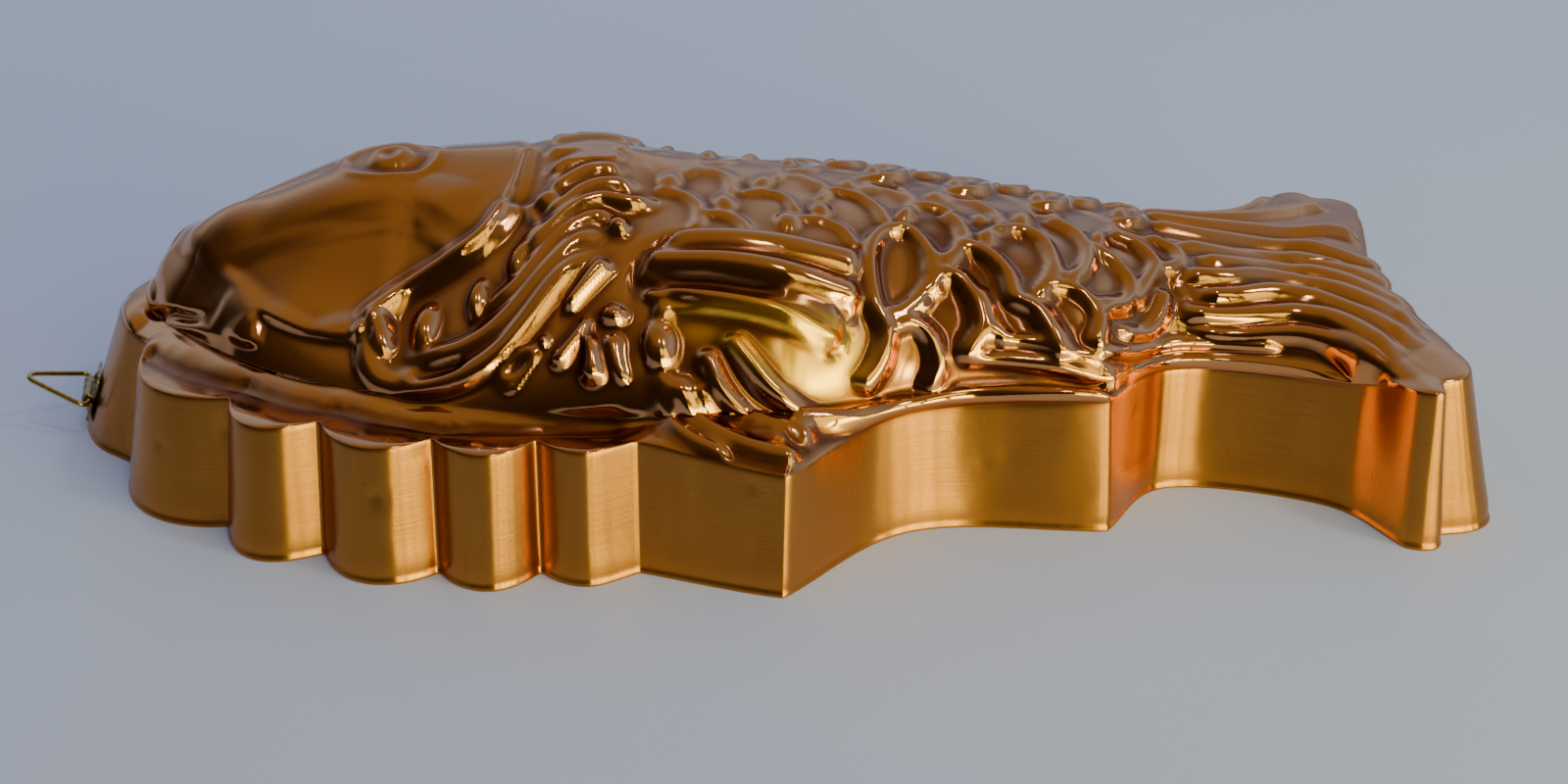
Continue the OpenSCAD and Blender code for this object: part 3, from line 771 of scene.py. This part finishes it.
def opposite(n_ribs):
    """For each rib, the rib that meets it at the spine."""
    return (-np.arange(n_ribs)) % n_ribs


def ring_faces(ring_index):
    """Quads between rows of vertex numbers; the columns run round the closed loop."""
    a = ring_index[:-1]
    b = ring_index[1:]
    quads = np.stack([a, b, np.roll(b, -1, 1), np.roll(a, -1, 1)], 2)
    return quads.reshape(-1, 4)


def skin_numbers(base, n_ribs, n_rings):
    """Vertex numbers of a skin, ring by ring, where the first ring is shared across the spine."""
    half = n_ribs // 2
    j = np.arange(n_ribs)
    first = base + np.where(j <= half, j, n_ribs - j)
    rest = base + half + 1 + np.arange(n_rings - 1)[:, None] * n_ribs + j[None, :]
    return np.vstack([first[None], rest])


def skin_points(ribs):
    """A skin's points in the order of skin_numbers."""
    half = len(ribs) // 2
    return np.vstack([ribs[: half + 1, 0], ribs[:, 1:].transpose(1, 0, 2).reshape(-1, ribs.shape[2])])


DENT_SEED = 11
DENTS = 46
WAVE_DEPTH = 0.05


def wall_dents(ribs, rim):
    """Faint waves and small dents in the walls, as heights that never point outwards."""
    rng = np.random.default_rng(DENT_SEED)
    steps = np.linalg.norm(np.roll(rim, -1, 0) - rim, axis=1)
    around = np.concatenate([[0.0], np.cumsum(steps)[:-1]])[:, None]
    down = ribs[..., 2]
    waves = np.sin(around / 6.1 + down / 9.0) * np.sin(around / 17.0)
    waves = waves + np.sin(around / 3.3 - down / 14.0)
    depth = WAVE_DEPTH * (waves + 2.0)
    for _ in range(DENTS):
        at, z = rng.uniform(0.0, steps.sum()), rng.uniform(8.0, 42.0)
        reach, sink = rng.uniform(1.2, 3.4), rng.uniform(0.08, 0.30)
        depth = depth + sink * np.exp(-((around - at) ** 2 + (down - z) ** 2) / reach**2)
    fade = smoothstep(TOP_RINGS - 8, TOP_RINGS, np.arange(ribs.shape[1]))
    return -depth * (fade * smoothstep(0.0, 6.0, down - HEM_ZONE))


def girths(ribs):
    """How far down the skin each point lies from the crest; the far side's is negative."""
    step = np.diff(ribs, axis=1)
    down = np.cumsum(np.hypot(step[..., 1], step[..., 2]), 1)
    girth = np.concatenate([np.zeros((len(ribs), 1)), down], 1)
    girth[len(ribs) // 2 + 1 :] *= -1.0
    return girth


def rising_directions(ribs, girth):
    """The direction in which the drawing rises at each point: mostly the skin's normal."""
    half = len(ribs) // 2
    across = opposite(len(ribs))
    normals = grid_normals(ribs, ribs[across, 1])
    crest = normals[:, 0] + normals[across, 0]
    # The two ends of the spine have no rib of their own across them.
    for end, beside in ((0, 1), (half, half - 1)):
        crest[end] = crest[beside]
    normals[:, 0] = crest / np.linalg.norm(crest, axis=1)[:, None]
    # Beside the crest the drawing rises the same way on both sides, so that they can't cross.
    own = smoothstep(0.0, CREST_BLEND, abs(girth))[..., None]
    normals = normals[:, :1] * (1.0 - own) + normals * own
    return normals / np.linalg.norm(normals, axis=2)[..., None]


def pressed_heights(ribs, girth):
    """The drawing's heights on the ribs, without the sharp creases that pressed sheet can't have."""
    across = opposite(len(ribs))
    height = np.zeros(girth.shape)
    top = slice(0, TOP_RINGS + 1)
    height[:, top] = relief(ribs[:, top, 0], girth[:, top])
    fade = np.ones(girth.shape[1])
    fade[TOP_RINGS + 1 - len(EDGE_FADE) : TOP_RINGS + 1] = EDGE_FADE
    fade[TOP_RINGS + 1 :] = 0.0
    height *= fade
    for _ in range(CREASE_PASSES):
        side = (np.roll(height, 1, 0) + np.roll(height, -1, 0)) / 2.0
        down = height.copy()
        down[:, 1:-1] = (height[:, 2:] + height[:, :-2]) / 2.0
        down[:, 0] = (height[:, 1] + height[across, 1]) / 2.0
        height = 0.5 * height + 0.25 * side + 0.25 * down
    height[:, 0] = (height[:, 0] + height[across, 0]) / 2.0
    return height


def hem_rings(rim, edge, heights, rows):
    """Rings for rows of [height, how far in], which follow the wall's straight line."""
    slope = (edge - rim) / heights[:, None]
    out_plan = outward(rim)
    rings = []
    for z, drawn_in in rows:
        plan = rim + slope * z - out_plan * drawn_in
        rings.append(np.hstack([plan, np.full((len(rim), 1), z)]))
    return np.stack(rings, 1)


def inner_skin(ribs, height, normals):
    """The inside down to the hem: every other rib and ring, one sheet thickness in.

    It follows the lowest of its surroundings, so that it stays under every crease.
    """
    sunk = height
    for shift in (-2, -1, 1, 2):
        sunk = np.minimum(sunk, np.roll(height, shift, 0))
    lowest = sunk.copy()
    for shift in (1, 2):
        lowest[:, shift:] = np.minimum(lowest[:, shift:], sunk[:, :-shift])
        lowest[:, :-shift] = np.minimum(lowest[:, :-shift], sunk[:, shift:])
    lowest[:, 0] = np.minimum(lowest[:, 0], lowest[opposite(len(ribs)), 0])
    under = ribs + (lowest - SHEET)[..., None] * normals
    return under[::2, ::2][:, : (TOP_RINGS + WALL_RINGS) // 2]


def foot_faces(outer_ring, inner_ring):
    """Triangles under the hem, from each pair of outer edges to one inner edge."""
    faces = []
    for j, near in enumerate(inner_ring):
        far = inner_ring[(j + 1) % len(inner_ring)]
        a, b, c = (outer_ring[(2 * j + i) % len(outer_ring)] for i in range(3))
        faces += [(a, near, b), (b, near, far), (b, far, c)]
    return faces


def material_marks(ribs, girth, height):
    """What the copper's material needs to know about each point of the outside.

    wall is 0 on the crown and 1 on the wall; burnished is 1 in the hollow below the fin, which is rougher
    satin and painted bright yellow as a painted reflection of the window; groove is how deep a groove lies,
    up to 1, and sets the painted shade in the grooves.
    """
    n_ribs, n_rings = len(ribs), ribs.shape[1] + len(HEM_LINE)
    ring = np.arange(n_rings)
    wall = np.tile(smoothstep(TOP_RINGS - 2, TOP_RINGS + 2, ring), (n_ribs, 1))
    x = ribs[..., 0]
    # The hollow below the fin: rougher satin, and a painted reflection in the copper's colour.
    low = np.interp(x, [-20, -5, 8, 34], [73, 78, 86, 90])
    satin_and_painted_sheen = np.zeros(wall.shape)
    along = smoothstep(-24, -16, x) * smoothstep(34, 26, x)
    satin_and_painted_sheen[:, : ribs.shape[1]] = along * smoothstep(62, 67, girth) * smoothstep(3, -3, girth - low)
    level = height
    for _ in range(LEVEL_PASSES):
        level = (level + np.roll(level, 1, 0) + np.roll(level, -1, 0)) / 3.0
        padded = np.pad(level, ((0, 0), (1, 1)), "edge")
        level = (padded[:, :-2] + padded[:, 1:-1] + padded[:, 2:]) / 3.0
    groove = np.zeros(wall.shape)
    groove[:, : ribs.shape[1]] = np.clip(level - height, 0.0, 1.0)
    return {"wall": wall, "groove": groove, "satin_and_painted_sheen": satin_and_painted_sheen}


def build_pan():
    """The pan's points, its outside, inside and foot faces, and its material marks."""
    loft = dense_loop()
    places = rib_places(loft)
    round_places = np.concatenate([places, LOOP - places[-2:0:-1]])
    rim, edge, plain_edge, rest = (
        sample(loft[name], round_places) for name in ("rim", "edge", "plain_edge", "rest")
    )
    lines, n_crown, n_ledge = rib_sections(rim, edge, plain_edge, rest)
    ribs = eased_ribs(lines, n_crown, n_ledge)
    girth = girths(ribs)
    normals = rising_directions(ribs, girth)
    height = pressed_heights(ribs, girth) + wall_dents(ribs, rim)
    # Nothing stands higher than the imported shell.
    upright = np.maximum(normals[..., 2], 0.3)
    height = np.minimum(height, (HIGHEST - ribs[..., 2]) / upright)

    outer = ribs + height[..., None] * normals
    inner = inner_skin(ribs, height, normals)
    hem, back = (hem_rings(rim, edge, rest[:, EDGE_Z], rows) for rows in (HEM_LINE, HEM_BACK))
    outer = np.concatenate([outer, hem], 1)
    inner = np.concatenate([inner, back[::2]], 1)

    outer_numbers = skin_numbers(0, len(outer), outer.shape[1])
    n_outer = outer_numbers.max() + 1
    inner_numbers = skin_numbers(n_outer, len(inner), inner.shape[1])
    points = np.vstack([skin_points(outer), skin_points(inner)])
    marks = {}
    for name, values in material_marks(ribs, girth, height).items():
        marks[name] = np.zeros(len(points))
        marks[name][:n_outer] = skin_points(values[..., None])[:, 0]
    outside = ring_faces(outer_numbers)
    inside = ring_faces(inner_numbers)[:, ::-1]
    return points, outside, inside, foot_faces(outer_numbers[-1], inner_numbers[-1]), marks


def pan_mesh():
    """The pan's mesh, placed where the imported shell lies."""
    points, outside, inside, foot, marks = build_pan()
    low, high = (np.array(corner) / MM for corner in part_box("pan_shell"))
    loft_low = [min(row[0] for row in NEAR), min(row[1] for row in NEAR)]
    points[:, :2] += low[:2] - loft_low
    # The relief stands proud of the walls by a hair at the tail, where the shell's box ends.
    points = np.clip(points, low, high)
    pan = mesh_object("mould_pan", points * MM, outside.tolist() + inside.tolist() + foot)
    slots = np.zeros(len(pan.data.polygons), int)
    slots[len(outside) : len(outside) + len(inside)] = 1
    pan.data.polygons.foreach_set("material_index", slots)
    for name, values in marks.items():
        pan.data.attributes.new(name, "FLOAT", "POINT").data.foreach_set("value", values)
    return pan


# ---------------------------------------------------------------- floor

FLOOR_REACH = 3.0

floor_data = bpy.data.meshes.new("floor")
corners = [(-1, -1), (1, -1), (1, 1), (-1, 1)]
floor_data.from_pydata([(x * FLOOR_REACH, y * FLOOR_REACH, 0) for x, y in corners], [], [(0, 1, 2, 3)])
floor = bpy.data.objects.new("floor", floor_data)
bpy.context.scene.collection.objects.link(floor)

# ---------------------------------------------------------------- shader nodes


class Tree:
    """The nodes of a material or a world, with short names for the usual ones."""

    def __init__(self, owner):
        owner.use_nodes = True
        self.nodes = owner.node_tree.nodes
        self.links = owner.node_tree.links

    def feed(self, socket, value):
        """Gives a socket a number, a colour or what another socket puts out."""
        if isinstance(value, bpy.types.NodeSocket):
            self.links.new(value, socket)
        elif socket.type == "RGBA":
            socket.default_value = (*value, 1.0)
        else:
            socket.default_value = value

    def node(self, kind, inputs, **settings):
        """A new node of the kind Shader Node so-and-so, with its settings made and its inputs fed."""
        made = self.nodes.new("ShaderNode" + kind)
        for name, value in settings.items():
            setattr(made, name, value)
        for key, value in inputs.items():
            self.feed(made.inputs[key], value)
        return made

    def remap(self, value, from_low, from_high, to_low, to_high, **settings):
        """A value moved from one range to another, and held inside it."""
        ends = {"From Min": from_low, "From Max": from_high, "To Min": to_low, "To Max": to_high}
        return self.node("MapRange", {"Value": value, **ends}, **settings).outputs["Result"]

    def mix(self, factor, a, b):
        """A colour between a and b."""
        return self.node("Mix", {0: factor, 6: a, 7: b}, data_type="RGBA").outputs[2]

    def math(self, operation, a, b):
        """A sum or a product of two numbers."""
        return self.node("Math", {0: a, 1: b}, operation=operation).outputs[0]


class Paint(Tree):
    """A procedural material, drawn in the object's own coordinates."""

    def __init__(self, name):
        self.material = bpy.data.materials.new(name)
        super().__init__(self.material)
        self.shader = self.nodes["Principled BSDF"]
        self.place = self.node("TexCoord", {}).outputs["Object"]

    def noise(self, stretch, detail=4.0):
        """Noise with that many waves to the metre along X, Y and Z."""
        mapping = self.node("Mapping", {"Scale": stretch, "Vector": self.place})
        inputs = {"Scale": 1.0, "Detail": detail, "Roughness": 0.55, "Vector": mapping.outputs[0]}
        return self.node("TexNoise", inputs).outputs["Fac"]

    def finish(self, colour, metallic, roughness, height, distance, strength):
        """The material, with a colour and a roughness, and raised by a height at that distance."""
        inputs = {"Distance": distance, "Strength": strength, "Height": height}
        bump = self.node("Bump", inputs).outputs["Normal"]
        looks = {"Base Color": colour, "Metallic": metallic, "Roughness": roughness, "Normal": bump}
        for name, value in looks.items():
            self.feed(self.shader.inputs[name], value)
        return self.material


def floor_paint():
    """Pale blue-grey paint, painted lighter and bluer towards the back as painted light, with a soft mottle
    and faint specks.
    """
    paint = Paint("floor_paint")
    # Painted light: the floor is painted lighter towards the back, where the lamps light it less.
    back = paint.node("SeparateXYZ", {0: paint.place}).outputs["Y"]
    depth = paint.remap(back, -0.3, 0.6, 0.0, 1.0)
    tint = paint.mix(depth, (0.51, 0.55, 0.69), (0.76, 0.88, 0.99))
    mottle = paint.remap(paint.noise((5, 5, 5)), 0.35, 0.7, 0.0, 0.10)
    tint = paint.mix(mottle, tint, (0.55, 0.60, 0.70))
    speck = paint.remap(paint.noise((70, 70, 70), 2.0), 0.74, 0.80, 0.0, 0.25)
    tint = paint.mix(speck, tint, (0.50, 0.48, 0.44))
    return paint.finish(tint, 0.0, 0.5, paint.noise((900, 900, 900), 2.0), 0.0002, 0.15)


floor.data.materials.append(floor_paint())

# ---------------------------------------------------------------- light

# What the copper reflects of the room, by the height of the direction, on its dark side to the
# front left and on its bright side: dim near the horizon, with a warm ceiling. Each row is
# [height, colour on the dark side, colour on the bright side].
ROOM_BANDS = [
    [-0.10, (0.20, 0.20, 0.22), (0.30, 0.33, 0.38)],
    [0.02, (0.020, 0.014, 0.010), (0.26, 0.27, 0.29)],
    [0.20, (0.030, 0.020, 0.012), (0.30, 0.36, 0.52)],
    [0.46, (0.045, 0.030, 0.015), (0.50, 0.64, 0.98)],
    [0.70, (0.080, 0.055, 0.028), (0.34, 0.39, 0.54)],
    [0.87, (0.27, 0.195, 0.10), (0.38, 0.30, 0.17)],
    [1.00, (0.34, 0.25, 0.125), (0.34, 0.25, 0.125)],
]
BRIGHT_SIDE = (0.42, 0.91, 0.0)
# Half the width of the change between the two sides, as a part of the way across the room.
SIDE_BLEND = 0.35
BACKDROP = (0.42, 0.46, 0.52)
DAYLIGHT = (0.34, 0.355, 0.53)


def make_world():
    """Soft surroundings for reflections, an even daylight and a plain backdrop."""
    world = bpy.data.worlds.new("studio")
    bpy.context.scene.world = world
    tree = Tree(world)
    direction = tree.node("TexCoord", {}).outputs["Generated"]
    up = tree.node("SeparateXYZ", {0: direction}).outputs["Z"]
    height = tree.remap(up, -1.0, 1.0, 0.0, 1.0)
    facing = tree.node("VectorMath", {0: direction, 1: BRIGHT_SIDE}, operation="DOT_PRODUCT")
    side = tree.remap(
        facing.outputs["Value"], -SIDE_BLEND, SIDE_BLEND, 0.0, 1.0, interpolation_type="SMOOTHSTEP"
    )
    colours = []
    for column in (1, 2):
        bands = tree.node("ValToRGB", {"Fac": height})
        ramp = bands.color_ramp
        while len(ramp.elements) < len(ROOM_BANDS):
            ramp.elements.new(0.5)
        for element, row in zip(ramp.elements, ROOM_BANDS):
            element.position = (row[0] + 1.0) / 2.0
            element.color = (*row[column], 1.0)
        colours.append(bands.outputs["Color"])
    room = tree.nodes["Background"]
    tree.feed(room.inputs["Color"], tree.mix(side, *colours))
    # Matt surfaces take the even daylight, and the camera sees the plain backdrop.
    seen = tree.node("LightPath", {})
    shown = room.outputs[0]
    for colour, ray in ((DAYLIGHT, "Is Diffuse Ray"), (BACKDROP, "Is Camera Ray")):
        plain = tree.node("Background", {"Color": colour}).outputs[0]
        shown = tree.node("MixShader", {"Fac": seen.outputs[ray], 1: shown, 2: plain}).outputs[0]
    tree.feed(tree.nodes["World Output"].inputs["Surface"], shown)


def area_light(name, at, size, radiance, colour):
    """A soft rectangular light aimed at the mould. Its brightness is stated, not its power."""
    data = bpy.data.lights.new(name, "AREA")
    data.shape = "RECTANGLE"
    data.size, data.size_y = size
    data.energy = radiance * math.pi * size[0] * size[1]
    data.color = colour
    light = bpy.data.objects.new(name, data)
    light.location = at
    light.rotation_euler = (-Vector(at)).to_track_quat("-Z", "Y").to_euler()
    bpy.context.scene.collection.objects.link(light)


# Window panes at the front right, five low ones and two dimmer ones above, as
# [azimuth right of the front, height of the middle, width, height, radiance].
PANES = [
    [16.0, 0.15, 0.24, 0.26, 15.0],
    [30.0, 0.17, 0.24, 0.30, 17.0],
    [43.0, 0.17, 0.24, 0.30, 16.0],
    [57.0, 0.17, 0.24, 0.30, 14.0],
    [71.0, 0.17, 0.14, 0.30, 9.0],
    [24.0, 0.86, 0.44, 0.46, 2.4],
    [50.0, 0.66, 0.56, 0.50, 2.4],
]
WINDOW_AWAY = 1.2
WINDOW_TINT = (0.98, 0.95, 0.30)
# Small high lamps, as [name, place, side, radiance, colour].
LAMPS = [
    ["lamp_top", (0.167, -0.458, 1.205), 0.11, 28.0, (0.95, 0.94, 1.0)],
    ["lamp_high", (0.9, -0.4, 1.3), 0.20, 20.0, (1.0, 0.98, 0.95)],
]

make_world()
for number, (azimuth, middle, width, tall, radiance) in enumerate(PANES):
    turn = math.radians(azimuth)
    at = (WINDOW_AWAY * math.sin(turn), -WINDOW_AWAY * math.cos(turn), middle)
    area_light(f"pane_{number}", at, (width, tall), radiance, WINDOW_TINT)
for name, at, side, radiance, colour in LAMPS:
    area_light(name, at, (side, side), radiance, colour)

# ---------------------------------------------------------------- materials

COPPER = (0.68, 0.32, 0.12)
COPPER_WORN = (0.62, 0.28, 0.10)
# The walls' copper, painted darker than the crown's as painted shade.
COPPER_WALL_SHADED = (0.54, 0.220, 0.042)
# A painted reflection: the bright yellow of the window, painted into the hollow below the fin.
COPPER_PAINTED_SHEEN = (0.97, 0.52, 0.05)
# Painted shade in the grooves, and also the colour of the tarnish specks.
COPPER_SHADE_AND_TARNISH = (0.20, 0.060, 0.020)
TIN = (0.62, 0.61, 0.58)
TIN_DULL = (0.48, 0.46, 0.43)
TIN_STAIN = (0.42, 0.30, 0.19)
BRASS = (0.66, 0.52, 0.20)
BRASS_WORN = (0.40, 0.30, 0.11)
BRASS_AGED = (0.42, 0.32, 0.13)
BRASS_RIVET = (0.58, 0.45, 0.18)
BRASS_DARK = (0.16, 0.11, 0.05)


def copper_outside():
    """Polished copper: bright on the crown, brushed, streaked and painted darker on the walls as painted
    shade, with painted shade in the grooves, tarnish specks, and a painted reflection in the hollow below
    the fin.
    """
    paint = Paint("copper_outside")
    wall, groove, satin_and_painted_sheen = (
        paint.node("Attribute", {}, attribute_name=name).outputs["Fac"]
        for name in ("wall", "groove", "satin_and_painted_sheen")
    )
    cloud = paint.noise((28, 28, 28))
    tint = paint.mix(paint.remap(cloud, 0.35, 0.7, 0.0, 1.0), COPPER, COPPER_WORN)
    # The walls are painted darker, as painted shade.
    tint = paint.mix(wall, tint, COPPER_WALL_SHADED)
    # The hollow below the fin is painted bright yellow, a painted reflection of the window.
    tint = paint.mix(satin_and_painted_sheen, tint, COPPER_PAINTED_SHEEN)
    # The grooves are painted darker, patchily, as painted shade; the specks are tarnish.
    patchy = paint.remap(cloud, 0.3, 0.6, 0.6, 1.0)
    groove_shade_and_specks = paint.math("MULTIPLY", paint.remap(groove, 0.06, 0.55, 0.0, 0.9), patchy)
    specks = paint.remap(paint.noise((260, 260, 260), 3.0), 0.70, 0.80, 0.0, 0.35)
    groove_shade_and_specks = paint.math("ADD", groove_shade_and_specks, specks)
    tint = paint.mix(groove_shade_and_specks, tint, COPPER_SHADE_AND_TARNISH)

    polished = paint.remap(cloud, 0.3, 0.7, 0.07, 0.12)
    brushed = paint.remap(paint.noise((190, 190, 14), 3.0), 0.3, 0.7, 0.26, 0.32)
    clean = paint.node("Mix", {0: wall, 2: polished, 3: brushed}).outputs[0]
    duller = paint.math(
        "ADD", paint.math("MULTIPLY", groove_shade_and_specks, 0.15), paint.math("MULTIPLY", satin_and_painted_sheen, 0.14)
    )
    rough = paint.math("ADD", clean, duller)
    # Brush lines run round the walls, which draws reflections out upwards.
    upwards = paint.node("CombineXYZ", {"Z": 1.0}).outputs[0]
    paint.feed(paint.shader.inputs["Anisotropic"], 0.9)
    paint.feed(paint.shader.inputs["Tangent"], upwards)
    ripple = paint.noise((110, 110, 110), 2.0)
    scratch = paint.math("MULTIPLY", paint.noise((60, 60, 1500), 2.0), wall)
    return paint.finish(tint, 1.0, rough, paint.math("ADD", ripple, scratch), 0.0001, 0.5)


def tin_inside():
    """Dull tin wiped over the copper, with streaks, stains and a little copper showing through."""
    paint = Paint("tin_inside")
    wipe = paint.noise((120, 18, 60))
    cloud = paint.noise((22, 22, 22), 5.0)
    tint = paint.mix(paint.remap(wipe, 0.3, 0.7, 0.0, 1.0), TIN, TIN_DULL)
    tint = paint.mix(paint.remap(cloud, 0.52, 0.72, 0.0, 0.7), tint, TIN_STAIN)
    return paint.finish(tint, 1.0, paint.remap(wipe, 0.3, 0.7, 0.30, 0.46), wipe, 0.0003, 0.35)


def brass(name, colour, worn, stretch, rough):
    """Brass with darker patches in its colour and a drawn grain."""
    paint = Paint(name)
    tint = paint.mix(paint.remap(paint.noise((420, 420, 420)), 0.40, 0.66, 0.0, 1.0), colour, worn)
    grain = paint.noise(stretch, 3.0)
    gloss = paint.remap(grain, 0.3, 0.7, rough * 0.7, rough * 1.4)
    return paint.finish(tint, 1.0, gloss, grain, 0.00006, 0.6)


brass_wire = brass("brass_wire", BRASS, BRASS_WORN, (300, 1600, 1600), 0.16)
brass_strap = brass("brass_strap", BRASS_AGED, BRASS_DARK, (1200, 300, 1200), 0.28)
brass_rivets = brass("brass_rivets", BRASS_RIVET, BRASS_DARK, (700, 700, 700), 0.22)

# ---------------------------------------------------------------- the pieces


def fitted(piece, material, body, node):
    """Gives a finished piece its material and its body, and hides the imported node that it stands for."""
    piece.data.materials.append(material)
    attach(piece, body)
    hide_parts(node)


pan = pan_mesh()
fitted(pan, copper_outside(), "mould", "pan_shell")
pan.data.materials.append(tin_inside())

# The hanger's own frame starts on the hinge: X out of the wall, Y along the hinge, Z up the wall.

HINGE_AT = Vector(next(j for j in frame["joints"] if j["name"] == "ring_hinge")["pos_m"])
# How far the nose wall is turned there, and how far it leans back.
HANGER_YAW = math.radians(12.0)
HANGER_LEAN = math.radians(21.0)


def on_nose(x, y, z):
    """A point of the hanger frame, given in millimetres, in the row frame in metres."""
    out = -x * math.cos(HANGER_LEAN) + z * math.sin(HANGER_LEAN)
    up = x * math.sin(HANGER_LEAN) + z * math.cos(HANGER_LEAN)
    c, s = math.cos(HANGER_YAW), math.sin(HANGER_YAW)
    return HINGE_AT + Vector((out * c - y * s, out * s + y * c, up)) * MM


def arc(cx, cy, radius, start, end, steps):
    """Points of an arc with the direction from its centre, in degrees."""
    turns = [start + (end - start) * i / steps for i in range(steps + 1)]
    return [
        (cx + radius * math.cos(math.radians(a)), cy + radius * math.sin(math.radians(a)), a)
        for a in turns
    ]


def tube_faces(rows, sides, closed):
    """Quads over rows of points, and two end faces where the tube isn't closed."""
    last = rows if closed else rows - 1
    faces = []
    for k in range(last):
        a, b = k * sides, (k + 1) % rows * sides
        faces += [(a + i, a + (i + 1) % sides, b + (i + 1) % sides, b + i) for i in range(sides)]
    if not closed:
        faces += [tuple(range(sides - 1, -1, -1)), tuple(range(last * sides, rows * sides))]
    return faces


# The ring's half width, its corner radius, how far out its tip's centre is, and the tip's radius.
RING_HALF = 8.5
RING_BEND = 2.0
RING_REACH = 13.97
RING_TIP = 3.4
BEND_STEPS = 12
TIP_STEPS = 24
WIRE_RADIUS = 0.79
WIRE_SIDES = 20


def hanging_ring():
    """The wire ring: a straight side in the barrel, two legs and a round tip."""
    leg = math.hypot(RING_REACH - RING_BEND, RING_HALF)
    turn = math.degrees(
        math.acos((RING_BEND - RING_TIP) / leg) - math.atan2(RING_HALF, RING_REACH - RING_BEND)
    )
    path = [(0.0, y, 180.0) for y in (-RING_HALF * 0.5, 0.0, RING_HALF * 0.5)]
    path += arc(RING_BEND, RING_HALF, RING_BEND, 180.0, turn, BEND_STEPS)
    path += arc(RING_REACH, 0.0, RING_TIP, turn, -turn, TIP_STEPS)
    path += arc(RING_BEND, -RING_HALF, RING_BEND, -turn, -180.0, BEND_STEPS)
    points = []
    for x, y, facing in path:
        c, s = math.cos(math.radians(facing)), math.sin(math.radians(facing))
        for i in range(WIRE_SIDES):
            around = 2.0 * math.pi * i / WIRE_SIDES
            reach = WIRE_RADIUS * math.cos(around)
            points.append(on_nose(x + reach * c, y + reach * s, WIRE_RADIUS * math.sin(around)))
    ring = mesh_object("ring_wire", points, tube_faces(len(path), WIRE_SIDES, True))
    fitted(ring, brass_wire, "ring", "hanging_ring")


STRAP_HALF = 6.5
STRAP_SHEET = 0.8
# Radius of the sheet's middle in the barrel, and of its bends beside the barrel.
STRAP_MIDDLE = 1.4
STRAP_FILLET = 0.6
STRAP_END = 7.4
STRAP_CORNER = 1.6
STRAP_BEVEL = 0.14
BARREL_STEPS = 28
FILLET_STEPS = 8
# Rows of the strip, by how far from its end; past the last its width is even.
LEG_ROWS = (0.0, 0.1, 0.25, 0.5, 0.8, 1.2, 1.6, 3.0, 4.5)


def strap():
    """One strip of brass, bent round the ring's straight side and laid flat on the wall."""
    drop = 2.0 * math.sqrt(STRAP_MIDDLE * STRAP_FILLET)
    centre = STRAP_FILLET - STRAP_MIDDLE
    lean = math.degrees(math.atan2(drop, -centre))
    # Rows of the strip: place in X and Z, the direction that its front faces, and how far from its end.
    leg = [(STRAP_END - d, d) for d in LEG_ROWS]
    rows = [(-STRAP_MIDDLE, -z, 0.0, d) for z, d in leg]
    first = arc(centre, -drop, STRAP_FILLET, 180.0, lean, FILLET_STEPS)
    barrel = arc(0.0, 0.0, STRAP_MIDDLE, lean - 180.0, 180.0 - lean, BARREL_STEPS)[1:-1]
    second = arc(centre, drop, STRAP_FILLET, -lean, -180.0, FILLET_STEPS)
    for bend, turn in ((first, -180.0), (barrel, 0.0), (second, 180.0)):
        rows += [(x, z, a + turn, STRAP_END) for x, z, a in bend]
    rows += [(-STRAP_MIDDLE, z, 0.0, d) for z, d in reversed(leg)]
    half = STRAP_SHEET / 2.0
    points = []
    for x, z, facing, from_end in rows:
        inset = max(STRAP_CORNER - from_end, 0.0)
        wide = STRAP_HALF - (STRAP_CORNER - math.sqrt(STRAP_CORNER**2 - inset**2))
        slim = wide - STRAP_BEVEL
        thin = half - STRAP_BEVEL
        c, s = math.cos(math.radians(facing)), math.sin(math.radians(facing))
        section = [(half, -slim), (half, slim), (thin, wide), (-thin, wide)]
        section += [(-half, slim), (-half, -slim), (-thin, -wide), (thin, -wide)]
        points += [on_nose(x + t * c, y, z + t * s) for t, y in section]
    piece = mesh_object("hanger_strap_bent", points, tube_faces(len(rows), 8, False), smooth=False)
    fitted(piece, brass_strap, "mould", "hanger_strap")


hanging_ring()
strap()
frame["nodes"]["hanger_rivets"].data.materials[0] = brass_rivets
